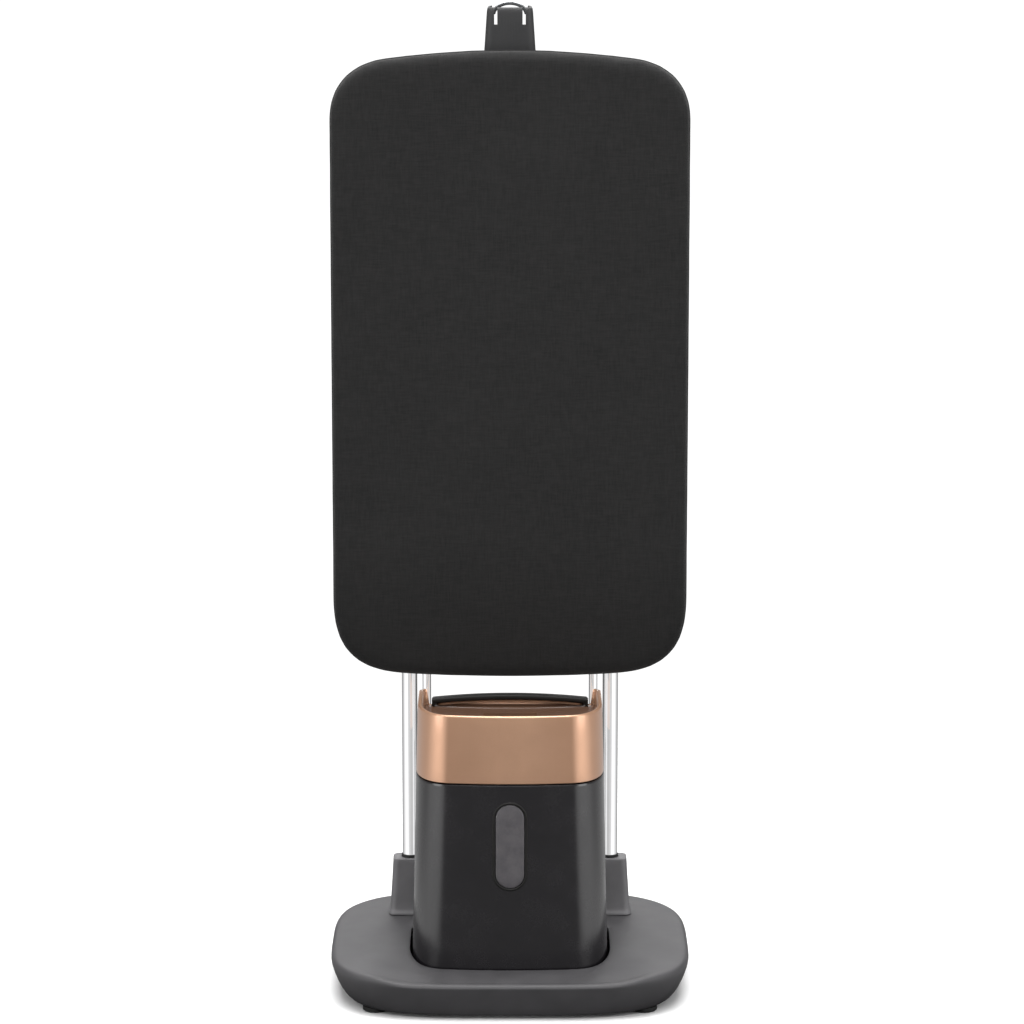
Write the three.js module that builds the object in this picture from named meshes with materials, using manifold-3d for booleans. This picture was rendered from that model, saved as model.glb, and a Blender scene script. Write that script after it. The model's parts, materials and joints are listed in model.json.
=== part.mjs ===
// Upright garment press: a padded pressing board on telescopic poles over a steam generator and a wide base.
// Millimetres, +Z up, -Y is the front. The origin is on the floor, at the middle of the footprint.
import * as THREE from "three";
import { mergeVertices } from "three/addons/utils/BufferGeometryUtils.js";
import Module from "manifold-3d";

const wasm = await Module();
wasm.setup();

// ---------------------------------------------------------------- driving dimensions
const GAP = 0.3; // between neighbouring pieces that only rest on each other
const ROUND = 24; // sides of a drawn circle
const SMALL_ROUND = 16;

const BASE = {
  halfWidth: 203,
  halfDepth: 181,
  frontPower: 4, // how square the plan's corners are; 2 is an ellipse
  rearPower: 3.3,
  floor: 5,
  rim: 40,
  top: 48,
  dip: 6, // how far the top sinks in front of the generator
  wall: 3,
  sides: 56,
};
const FOOT = { radius: 14, x: 150, front: 138, rear: 125 };
const BALLAST = { width: 250, depth: 190, height: 6 };

const BODY = {
  bottom: 16,
  seam: 251.5, // top of the black housing, where the metallic cap begins
  top: 330,
  halfBottom: 111,
  halfTop: 103.5,
  frontBottom: -120,
  frontTop: -116,
  back: 27,
  crown: 5, // how far the front bulges at its middle
  cornerWidth: 36,
  cornerDepth: 62,
  backCorner: 12,
  wall: 3,
};
const WINDOW = { halfWidth: 16.5, low: 133.5, high: 230 };
const RECESS = { floor: 310, rimWall: 5.5, plate: 4 };
const TANK = { halfWidth: 80, front: -92, back: -24, bottom: 128, wall: 2.5, neck: 13 };

const POLE = { x: 116, y: 87, outer: 9, outerBore: 7.6, inner: 7.3, innerBore: 5.8 };
const LOWER_POLE = { from: 52, to: 558 };
const UPPER_POLE = { from: 215, to: 698 };
const ROD = { x: 95.7, y: 68, radius: 5, to: 548 };
const SOCKET = { shift: 4.9, halfX: 18.6, halfY: 18, topX: 16.2, topY: 14.5, top: 114 };
const LOCK = { x: 145.5, z: 556 }; // the height lock levers' pins
const BRIDGE = { halfWidth: 137, front: 61, back: 107, from: 530, to: 572 };

const CORD = { radius: 2.2, halfWidth: 46, halfHeight: 82, z: 140, y: 36.5, turns: 3 };

const HINGE = { y: 87, z: 700, shaft: 6, knuckle: 13, disc: 23 };
const HEAD = { inner: 92, outer: 138, front: 71, back: 104, from: 650, to: 716 };
const BOLT = { y: 71, radius: 3.5, inner: 18, tip: 84.7 };

const LEVER = { y: 64.5, z: 648, squeezed: 15 }; // the tilt lever, drawn as it is while a hand squeezes it

const BOARD = { halfWidth: 202, bottom: 338, top: 1053, front: 33, back: 56, cover: 2, pad: 8, panel: 3 };
const REST = { halfBottom: 33, halfTop: 25.5, front: 57, back: 96, bottom: 985, top: 1098.5, wall: 3.5 };

// ---------------------------------------------------------------- materials
const finish = (color, roughness, metalness = 0) =>
  new THREE.MeshStandardMaterial({ color, roughness, metalness });
const MATERIAL = {
  fabric: finish(0x303030, 0.95),
  felt: finish(0x8c877d, 1),
  panel: finish(0x2b2b2c, 0.6),
  greyPlastic: finish(0x6b6a6c, 0.5),
  blackPlastic: finish(0x29272a, 0.4),
  copper: finish(0xb08a70, 0.32, 0.9),
  chrome: finish(0xe2e2e2, 0.12, 1),
  steel: finish(0xa9abad, 0.35, 1),
  rubber: finish(0x1a1a1a, 0.9),
  smoke: finish(0x57555a, 0.2),
  brass: finish(0xb59a55, 0.35, 1),
  board: finish(0x1f5a3a, 0.6),
};

// ---------------------------------------------------------------- solids and booleans
function toSolid(geometry) {
  const bare = geometry.index ? geometry.toNonIndexed() : geometry.clone();
  bare.deleteAttribute("normal");
  bare.deleteAttribute("uv");
  const merged = mergeVertices(bare, 1e-3);
  return new wasm.Manifold(
    new wasm.Mesh({
      numProp: 3,
      vertProperties: merged.attributes.position.array,
      triVerts: new Uint32Array(merged.index.array),
    }),
  );
}

function toGeometry(solid) {
  const mesh = solid.getMesh();
  return new THREE.BufferGeometry()
    .setAttribute("position", new THREE.BufferAttribute(new Float32Array(mesh.vertProperties), 3))
    .setIndex(new THREE.BufferAttribute(new Uint32Array(mesh.triVerts), 1));
}

const join = (...geometries) =>
  toGeometry(geometries.map(toSolid).reduce((all, next) => all.add(next)));
const cut = (geometry, ...tools) =>
  toGeometry(tools.map(toSolid).reduce((all, tool) => all.subtract(tool), toSolid(geometry)));
const common = (a, b) => toGeometry(toSolid(a).intersect(toSolid(b)));

// A box between two corners.
const block = (x0, x1, y0, y1, z0, z1) =>
  new THREE.BoxGeometry(x1 - x0, y1 - y0, z1 - z0).translate((x0 + x1) / 2, (y0 + y1) / 2, (z0 + z1) / 2);

// A cylinder along X, Y or Z from one end to the other; a and b are its centre in the other two directions.
function rod(axis, radius, from, to, a, b, sides = ROUND) {
  const geometry = new THREE.CylinderGeometry(radius, radius, to - from, sides);
  const middle = (from + to) / 2;
  if (axis === "x") return geometry.rotateZ(-Math.PI / 2).translate(middle, a, b);
  if (axis === "y") return geometry.translate(a, middle, b);
  return geometry.rotateX(Math.PI / 2).translate(a, b, middle);
}

const tube = (outer, bore, from, to, x, y) =>
  cut(rod("z", outer, from, to, x, y), rod("z", bore, from - 1, to + 1, x, y));

// A flat shape drawn in X and Z, given thickness from yFront to yBack.
const slab = (shape, yFront, yBack, curveSegments = 10) =>
  new THREE.ExtrudeGeometry(shape, { depth: yBack - yFront, bevelEnabled: false, curveSegments })
    .rotateX(Math.PI / 2)
    .translate(0, yBack, 0);

// A closed skin through level rings of points, each { points, z }, from the lowest to the highest.
function loft(rings) {
  const count = rings[0].points.length;
  const position = rings.flatMap(({ points, z }) => points.flatMap((p) => [p.x, p.y, z]));
  const index = [];
  for (let r = 0; r < rings.length - 1; r++)
    for (let i = 0; i < count; i++) {
      const a = r * count + i;
      const b = r * count + ((i + 1) % count);
      index.push(a, b, b + count, a, b + count, a + count);
    }
  const last = (rings.length - 1) * count;
  for (const [i, j, k] of THREE.ShapeUtils.triangulateShape(rings[0].points, [])) index.push(k, j, i);
  for (const [i, j, k] of THREE.ShapeUtils.triangulateShape(rings.at(-1).points, []))
    index.push(last + i, last + j, last + k);
  return new THREE.BufferGeometry()
    .setAttribute("position", new THREE.BufferAttribute(new Float32Array(position), 3))
    .setIndex(index);
}

// ---------------------------------------------------------------- outlines
// The base's plan: a superellipse, drawn inside its widest line by an inset at the sides and one at the ends.
function basePlan(insetX, insetY) {
  const points = [];
  for (let i = 0; i < BASE.sides; i++) {
    const angle = (2 * Math.PI * i) / BASE.sides;
    const power = Math.sin(angle) < 0 ? BASE.frontPower : BASE.rearPower;
    const side = (value, half) => Math.sign(value) * Math.abs(value) ** (2 / power) * half;
    const x = side(Math.cos(angle), BASE.halfWidth - insetX);
    const y = side(Math.sin(angle), BASE.halfDepth - insetY);
    points.push(new THREE.Vector2(x, y));
  }
  return points;
}

const baseRings = (levels) =>
  levels.map(([insetX, insetY, z]) => ({ points: basePlan(insetX, insetY), z }));

// The generator's plan at a height: a nearly flat front with long round corners, and a flat back.
function bodyPlan(z, inset = 0, back = BODY.back) {
  const rise = (z - BODY.bottom) / (BODY.top - BODY.bottom);
  const half = THREE.MathUtils.lerp(BODY.halfBottom, BODY.halfTop, rise) - inset;
  const front = THREE.MathUtils.lerp(BODY.frontBottom, BODY.frontTop, rise) + inset;
  const rear = back - inset;
  const cornerWidth = BODY.cornerWidth - inset;
  const cornerDepth = BODY.cornerDepth - inset;
  const backCorner = Math.max(BODY.backCorner - inset, 2);
  const shoulder = front + BODY.crown;
  const shape = new THREE.Shape();
  shape.moveTo(half - cornerWidth, shoulder);
  shape.bezierCurveTo(
    half - cornerWidth * 0.45, shoulder + cornerDepth * 0.04,
    half, shoulder + cornerDepth * 0.4,
    half, shoulder + cornerDepth,
  );
  shape.lineTo(half, rear - backCorner);
  shape.quadraticCurveTo(half, rear, half - backCorner, rear);
  shape.lineTo(-half + backCorner, rear);
  shape.quadraticCurveTo(-half, rear, -half, rear - backCorner);
  shape.lineTo(-half, shoulder + cornerDepth);
  shape.bezierCurveTo(
    -half, shoulder + cornerDepth * 0.4,
    -half + cornerWidth * 0.45, shoulder + cornerDepth * 0.04,
    -half + cornerWidth, shoulder,
  );
  shape.quadraticCurveTo(0, front - BODY.crown, half - cornerWidth, shoulder);
  const points = shape.getPoints(8);
  points.pop();
  return points;
}

const bodyLoft = (from, to, inset = 0, back = BODY.back) =>
  loft([from, to].map((z) => ({ points: bodyPlan(z, inset, back), z })));

// An upright slot with round ends, centred on x = 0.
function stadium(halfWidth, low, high) {
  const shape = new THREE.Shape();
  shape.absarc(0, high - halfWidth, halfWidth, 0, Math.PI);
  shape.absarc(0, low + halfWidth, halfWidth, Math.PI, 2 * Math.PI);
  return shape;
}

// The pressing board's face: straight sides, round corners, and bowed top and bottom edges.
function boardFace(inset) {
  const half = BOARD.halfWidth - inset;
  const top = BOARD.top - inset;
  const bottom = BOARD.bottom + inset;
  const topKnee = { x: 140, drop: 9.5, side: 78 };
  const lowKnee = { x: 120, drop: 3.4, side: 90 };
  const shape = new THREE.Shape();
  shape.moveTo(-half, bottom + lowKnee.side);
  shape.bezierCurveTo(-half, bottom + 32, -half + 24, bottom + 7, -lowKnee.x, bottom + lowKnee.drop);
  shape.quadraticCurveTo(0, bottom - lowKnee.drop, lowKnee.x, bottom + lowKnee.drop);
  shape.bezierCurveTo(half - 24, bottom + 7, half, bottom + 32, half, bottom + lowKnee.side);
  shape.lineTo(half, top - topKnee.side);
  shape.bezierCurveTo(half, top - 34, half - 28, top - 14.7, topKnee.x, top - topKnee.drop);
  shape.quadraticCurveTo(0, top + topKnee.drop, -topKnee.x, top - topKnee.drop);
  shape.bezierCurveTo(-half + 28, top - 14.7, -half, top - 34, -half, top - topKnee.side);
  return shape;
}

// A rectangle's points, centred on a place, for tapered blocks.
const rectangle = (x, y, halfX, halfY) =>
  [[-1, -1], [1, -1], [1, 1], [-1, 1]].map(([i, j]) => new THREE.Vector2(x + i * halfX, y + j * halfY));

// A rectangle with cut corners.
function softRectangle(x, y, halfX, halfY, corner) {
  const shape = new THREE.Shape();
  shape.absarc(x + halfX - corner, y + halfY - corner, corner, 0, Math.PI / 2);
  shape.absarc(x - halfX + corner, y + halfY - corner, corner, Math.PI / 2, Math.PI);
  shape.absarc(x - halfX + corner, y - halfY + corner, corner, Math.PI, 1.5 * Math.PI);
  shape.absarc(x + halfX - corner, y - halfY + corner, corner, 1.5 * Math.PI, 2 * Math.PI);
  return mergeNear(shape.getPoints(4));
}

function mergeNear(points) {
  return points.filter((p, i) => p.distanceTo(points[(i + 1) % points.length]) > 1e-3);
}

// ---------------------------------------------------------------- the model's pieces
const press = new THREE.Group();

function piece(name, geometry, material) {
  const mesh = new THREE.Mesh(geometry, material);
  mesh.name = name;
  press.add(mesh);
  return mesh;
}

// Makes a left and a right piece; build(side) gets -1 for the left and +1 for the right.
function pair(name, material, build) {
  piece(name + "_left", build(-1), material);
  piece(name + "_right", build(1), material);
}

function addBase() {
  const { floor, rim, top, dip, wall } = BASE;
  const outside = loft(
    baseRings([
      [16, 6, floor], [12, 4.5, 9], [7, 2.5, 18], [0, 0, rim - 4], [0.6, 0.6, rim], [3, 3, 44],
      [8, 8, 46.4], [30, 30, top],
    ]),
  );
  const inside = loft(
    baseRings([[20, 10, floor - 1], [15.5, 8, 9], [10.5, 6, 18], [wall, wall, rim - 4], [14, 14, 40]]),
  );
  const hollowDip = loft([
    { points: rectangle(0, -150, 122, 52), z: top - dip },
    { points: rectangle(0, -130, 168, 82), z: top + 0.5 },
  ]);
  const well = bodyLoft(30, 60, -3);
  const buttonHole = rod("z", 13.5, 30, 60, 0, 140);
  piece("base_cover", cut(outside, inside, hollowDip, well, buttonHole), MATERIAL.greyPlastic);

  const tray = loft(baseRings([[21, 11, floor], [19, 10, 9]]));
  piece("base_tray", tray, MATERIAL.blackPlastic);
  const { width, depth, height } = BALLAST;
  const ballast = block(-width / 2, width / 2, -depth / 2 - 20, depth / 2 - 20, 9 + GAP, 9 + GAP + height);
  piece("ballast_plate", ballast, MATERIAL.steel);
  for (const [end, y] of [["front", -FOOT.front], ["rear", FOOT.rear]])
    pair("foot_" + end, MATERIAL.rubber, (side) =>
      rod("z", FOOT.radius, 0, floor - GAP, side * FOOT.x, y, SMALL_ROUND),
    );
}

function addPoles() {
  pair("pole_socket", MATERIAL.greyPlastic, (side) => {
    const x = side * (POLE.x + SOCKET.shift);
    const flange = loft([
      { points: softRectangle(x, POLE.y, SOCKET.halfX + 1.3, SOCKET.halfY + 3, 8), z: BASE.top + GAP },
      { points: softRectangle(x, POLE.y, SOCKET.halfX + 0.6, SOCKET.halfY + 1, 8), z: BASE.top + 4 },
    ]);
    const column = loft([
      { points: softRectangle(x, POLE.y, SOCKET.halfX, SOCKET.halfY, 7), z: BASE.top + 2 },
      { points: softRectangle(x - side * 1.4, POLE.y, SOCKET.topX, SOCKET.topY, 7), z: SOCKET.top },
    ]);
    const bore = rod("z", POLE.outer + 0.2, LOWER_POLE.from - GAP, 130, side * POLE.x, POLE.y);
    return cut(join(flange, column), bore);
  });
  pair("lower_pole", MATERIAL.chrome, (side) =>
    tube(POLE.outer, POLE.outerBore, LOWER_POLE.from, LOWER_POLE.to, side * POLE.x, POLE.y),
  );
  pair("stay_rod", MATERIAL.chrome, (side) =>
    rod("z", ROD.radius, BASE.top + GAP, ROD.to, side * ROD.x, ROD.y, SMALL_ROUND),
  );
  const { halfWidth, front, back, from, to } = BRIDGE;
  const body = loft([
    { points: softRectangle(0, (front + back) / 2, halfWidth - 2, (back - front) / 2 - 2, 14), z: from },
    { points: softRectangle(0, (front + back) / 2, halfWidth, (back - front) / 2, 14), z: from + 3 },
    { points: softRectangle(0, (front + back) / 2, halfWidth, (back - front) / 2, 14), z: to - 3 },
    { points: softRectangle(0, (front + back) / 2, halfWidth - 2, (back - front) / 2 - 2, 14), z: to },
  ]);
  const holes = [-1, 1].flatMap((side) => [
    rod("z", POLE.outer + 0.2, from - 1, LOWER_POLE.to + GAP, side * POLE.x, POLE.y),
    rod("z", POLE.outerBore, from - 1, to + 1, side * POLE.x, POLE.y),
    rod("z", ROD.radius + 0.2, from - 1, ROD.to + GAP, side * ROD.x, ROD.y, SMALL_ROUND),
  ]);
  const scoop = block(-76, 76, front - 1, back - 14, from + 8, to + 1);
  const lugs = [-1, 1].flatMap((side) => {
    const x = side * LOCK.x;
    const ends = [x - side * 12, x + side * 6].sort((a, b) => a - b);
    return [
      block(...ends, POLE.y - 18, POLE.y - 13, LOCK.z - 8, LOCK.z + 8),
      block(...ends, POLE.y + 13, POLE.y + 18, LOCK.z - 8, LOCK.z + 8),
      rod("y", 2.5, POLE.y - 16, POLE.y + 16, x, LOCK.z, SMALL_ROUND),
    ];
  });
  piece("pole_bridge", join(cut(body, ...holes, scoop), ...lugs), MATERIAL.blackPlastic);
  pair("height_lock_lever", MATERIAL.greyPlastic, (side) => {
    const x = side * LOCK.x;
    const hub = rod("y", 7, POLE.y - 12, POLE.y + 12, x, LOCK.z, SMALL_ROUND);
    const arm = loft([
      { points: rectangle(x + side * 1, POLE.y, 3, 9), z: LOCK.z - 58 },
      { points: rectangle(x, POLE.y, 5, 12), z: LOCK.z },
    ]);
    return cut(join(hub, arm), rod("y", 2.8, POLE.y - 14, POLE.y + 14, x, LOCK.z, SMALL_ROUND));
  });
}

function addGenerator() {
  const opening = slab(stadium(WINDOW.halfWidth, WINDOW.low, WINDOW.high), -140, -60, 8);
  const shell = cut(
    bodyLoft(BODY.bottom, BODY.seam),
    bodyLoft(BODY.bottom + 4, BODY.seam + 5, BODY.wall),
    opening,
    block(-76, 76, 10, 40, 44, 230),
  );
  piece("generator_housing", shell, MATERIAL.blackPlastic);
  const skin = cut(bodyLoft(120, 240, 0.4), bodyLoft(110, 245, BODY.wall + 0.6));
  const lens = slab(stadium(WINDOW.halfWidth - 0.4, WINDOW.low + 0.4, WINDOW.high - 0.4), -140, -60, 8);
  piece("water_window", common(skin, lens), MATERIAL.smoke);

  const plate = loft([
    { points: softRectangle(0, 145, 84, 92, 10), z: BODY.back + GAP },
    { points: softRectangle(0, 145, 82, 90, 10), z: BODY.back + 4 },
  ]);
  const facing = upright(plate);
  const hooks = [-1, 1].flatMap((side) => [
    block(-10, 10, BODY.back + 3, 60, CORD.z + side * 67 - 3, CORD.z + side * 67 + 3),
    block(-14, 14, 56, 60, CORD.z + side * 75 - 11, CORD.z + side * 75 + 11),
  ]);
  const ports = [rod("y", 9.3, 20, 40, -58, 190), rod("y", 12.3, 20, 40, 58, 90)];
  piece("housing_back", cut(join(facing, ...hooks), ...ports), MATERIAL.blackPlastic);

  const nozzle = cut(
    join(rod("y", 9, 8, 46, -58, 190), rod("y", 12, BODY.back + 4 + GAP, 36, -58, 190)),
    rod("y", 4, 30, 50, -58, 190, SMALL_ROUND),
  );
  piece("steam_outlet", nozzle, MATERIAL.brass);
  const capBody = join(
    rod("y", 12, 12, 32, 58, 90),
    rod("y", 17, BODY.back + 4 + GAP, 43, 58, 90),
    block(44, 72, 40, 48, 87, 93),
  );
  piece("descale_cap", capBody, MATERIAL.greyPlastic);
}

// Stands a loft up: what was drawn at y goes to height z, and what was at z goes back to y.
function upright(geometry) {
  const position = geometry.attributes.position;
  for (let i = 0; i < position.count; i++)
    position.setXYZ(i, position.getX(i), position.getZ(i), position.getY(i));
  const index = geometry.index.array;
  for (let i = 0; i < index.length; i += 3) [index[i + 1], index[i + 2]] = [index[i + 2], index[i + 1]];
  return geometry;
}

function addGeneratorInside() {
  const profile = [[0, 30], [40, 30], [46, 36], [46, 86], [38, 104], [10, 110], [0, 110]];
  const vessel = new THREE.LatheGeometry(profile.map(([r, z]) => new THREE.Vector2(r, z)), ROUND)
    .rotateX(Math.PI / 2)
    .translate(30, -50, 0);
  piece("boiler", vessel, MATERIAL.steel);
  const ring = new THREE.TorusGeometry(38, 4, 8, ROUND).translate(30, -50, 25);
  piece("heating_element", ring, MATERIAL.steel);
  const pump = join(rod("x", 17, -92, -34, -60, 60), block(-88, -38, -78, -42, 24, 45));
  piece("steam_pump", pump, MATERIAL.blackPlastic);
  piece("control_board", block(-60, 50, 4, 5.6, 120, 225), MATERIAL.board);
  const valve = join(block(-72, -44, -20, 4, 176, 204), rod("z", 10, 204, 228, -58, -8, SMALL_ROUND));
  piece("steam_valve", valve, MATERIAL.brass);
}

function addTank() {
  const outer = bodyLoft(BODY.seam + 1.2, BODY.top);
  const edge = loft([
    { points: bodyPlan(BODY.top - 3, 0), z: BODY.top - 3 },
    { points: bodyPlan(BODY.top, 2), z: BODY.top + 0.01 },
  ]);
  const softTop = join(bodyLoft(BODY.seam + 1.2, BODY.top - 3), edge);
  const hollow = bodyLoft(BODY.seam, RECESS.floor - RECESS.plate, BODY.wall);
  const recess = bodyLoft(RECESS.floor, BODY.top + 10, RECESS.rimWall, BODY.back + 20);
  const backWall = slab(arch(86, RECESS.floor - 1, RECESS.floor + 3, RECESS.floor + 7), 18, 26, 8);
  const filler = rod("z", TANK.neck, RECESS.floor - 10, RECESS.floor + 5, 0, -62);
  const cap = cut(join(cut(common(outer, softTop), recess), backWall), hollow, filler);
  piece("tank_cap", cap, MATERIAL.copper);

  const grip = RECESS.floor + 7 + GAP;
  const bar = slab(arch(90, grip, grip + 2.2, grip + 7.2), 12, 26, 8);
  const legs = [-1, 1].map((side) => {
    const ends = [side * 86.5, side * 90].sort((a, b) => a - b);
    return block(...ends, 12, 26, RECESS.floor + GAP, grip + 1.2);
  });
  piece("tank_handle", join(bar, ...legs), MATERIAL.blackPlastic);

  const { halfWidth, front, back, bottom, wall } = TANK;
  const top = RECESS.floor - RECESS.plate - GAP;
  const mid = (front + back) / 2;
  const depth = (back - front) / 2;
  const jar = loft([
    { points: softRectangle(0, mid, halfWidth - 3, depth - 3, 16), z: bottom },
    { points: softRectangle(0, mid, halfWidth, depth, 16), z: bottom + 5 },
    { points: softRectangle(0, mid, halfWidth, depth, 16), z: top },
  ]);
  const water = loft([
    { points: softRectangle(0, mid, halfWidth - wall, depth - wall, 14), z: bottom + 6 },
    { points: softRectangle(0, mid, halfWidth - wall, depth - wall, 14), z: top - wall },
  ]);
  const neck = rod("z", TANK.neck - 1, top - 10, top + 2, 0, -62);
  piece("water_tank", cut(jar, water, neck), MATERIAL.smoke);
  const valve = join(
    rod("z", 9, bottom - 12, bottom - GAP, 0, mid, SMALL_ROUND),
    rod("z", 5, bottom - 18, bottom - 8, 0, mid, SMALL_ROUND),
  );
  piece("tank_valve", valve, MATERIAL.rubber);
  const flap = join(
    block(-30, 30, -88, -36, RECESS.floor + GAP, RECESS.floor + 3.3),
    rod("x", 2.5, -30, 30, -34, RECESS.floor + 3, SMALL_ROUND),
    block(-12, 12, -94, -86, RECESS.floor + GAP + 1, RECESS.floor + 4),
  );
  piece("filler_flap", flap, MATERIAL.blackPlastic);

  const shelf = cut(
    bodyLoft(113, 117, BODY.wall + GAP),
    rod("z", 11, 100, 130, 0, mid),
    block(-76, -40, -30, 30, 100, 130),
    block(-70, 60, 2, 30, 100, 130),
  );
  piece("tank_shelf", shelf, MATERIAL.blackPlastic);
}

// A bar over a level base line whose top bows upwards, from its ends to its middle.
function arch(halfWidth, base, ends, middle) {
  const shape = new THREE.Shape();
  shape.moveTo(-halfWidth, base);
  if (base > RECESS.floor) shape.quadraticCurveTo(0, 2 * (middle - (ends - base)) - base, halfWidth, base);
  else shape.lineTo(halfWidth, base);
  shape.lineTo(halfWidth, ends);
  shape.quadraticCurveTo(0, 2 * middle - ends, -halfWidth, ends);
  return shape;
}

function addCordAndButton() {
  const button = rod("z", 13, 38, 53, 0, 140);
  piece("power_button", button, MATERIAL.greyPlastic);

  const { radius, halfWidth, halfHeight, z, y, turns } = CORD;
  const steps = 8;
  const last = y + turns * 5;
  const points = [];
  for (let i = 0; i <= turns * steps; i++) {
    const angle = (2 * Math.PI * i) / steps - Math.PI / 2;
    const back = y + (5 * i) / steps;
    points.push(new THREE.Vector3(halfWidth * Math.cos(angle), back, z + halfHeight * Math.sin(angle)));
  }
  points.push(new THREE.Vector3(24, last + 1, z - halfHeight));
  points.push(new THREE.Vector3(44, last + 2, z - halfHeight + 3));
  const profile = new THREE.Shape();
  profile.absarc(0, 0, radius, 0, 2 * Math.PI);
  const cord = new THREE.ExtrudeGeometry(profile, {
    steps: turns * 14,
    curveSegments: 3,
    extrudePath: new THREE.CatmullRomCurve3(points),
    bevelEnabled: false,
  });
  piece("power_cord", cord, MATERIAL.rubber);
  piece("cord_grip", rod("x", 5, -20, -2, y, z - halfHeight, SMALL_ROUND), MATERIAL.rubber);
  const plug = join(
    rod("x", 9, 46, 78, last + 2, z - halfHeight + 3, SMALL_ROUND),
    rod("x", 2, 77, 95, last - 2.5, z - halfHeight + 3, SMALL_ROUND),
    rod("x", 2, 77, 95, last + 6.5, z - halfHeight + 3, SMALL_ROUND),
  );
  piece("power_plug", plug, MATERIAL.rubber);
}

function addCarriage() {
  pair("upper_pole", MATERIAL.chrome, (side) =>
    tube(POLE.inner, POLE.innerBore, UPPER_POLE.from, UPPER_POLE.to, side * POLE.x, POLE.y),
  );
  const { inner, outer, front, back, from, to } = HEAD;
  const middle = (front + back) / 2;
  const halfX = (outer - inner) / 2;
  const halfY = (back - front) / 2;
  const ends = [-1, 1].map((side) => {
    const x = (side * (inner + outer)) / 2;
    return loft([
      { points: softRectangle(side * POLE.x, middle, 20, 14, 6), z: from },
      { points: softRectangle(x, middle, halfX, halfY, 7), z: from + 14 },
      { points: softRectangle(x, middle, halfX, halfY, 7), z: to - 5 },
      { points: softRectangle(x, middle, halfX - 5, halfY - 5, 4), z: to },
    ]);
  });
  const bar = block(-inner - 6, inner + 6, HINGE.y - 8, HINGE.y + 8, from + 5, from + 21);
  const holes = [-1, 1].map((side) =>
    rod("z", POLE.inner + 0.2, from - 1, UPPER_POLE.to + GAP, side * POLE.x, POLE.y),
  );
  const shaftHole = rod("x", HINGE.shaft + 0.3, -101, 101, HINGE.y, HINGE.z);
  piece("hinge_head", cut(join(...ends, bar), ...holes, shaftHole), MATERIAL.blackPlastic);
  piece("pivot_shaft", rod("x", HINGE.shaft, -100.5, 100.5, HINGE.y, HINGE.z), MATERIAL.steel);

  pair("detent_disc", MATERIAL.steel, (side) => {
    const [near, far] = side > 0 ? [85.6, 91.6] : [-91.6, -85.6];
    const stops = [0, 60, 90].map((tilt) => {
      const angle = THREE.MathUtils.degToRad(tilt);
      const reach = HINGE.y - BOLT.y;
      const y = HINGE.y - reach * Math.cos(angle);
      const z = HINGE.z + reach * Math.sin(angle);
      return rod("x", 4, near - 1, far + 1, y, z, SMALL_ROUND);
    });
    return cut(
      rod("x", HINGE.disc, near, far, HINGE.y, HINGE.z, 32),
      rod("x", HINGE.shaft + 0.3, near - 1, far + 1, HINGE.y, HINGE.z),
      ...stops,
    );
  });
}

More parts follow.
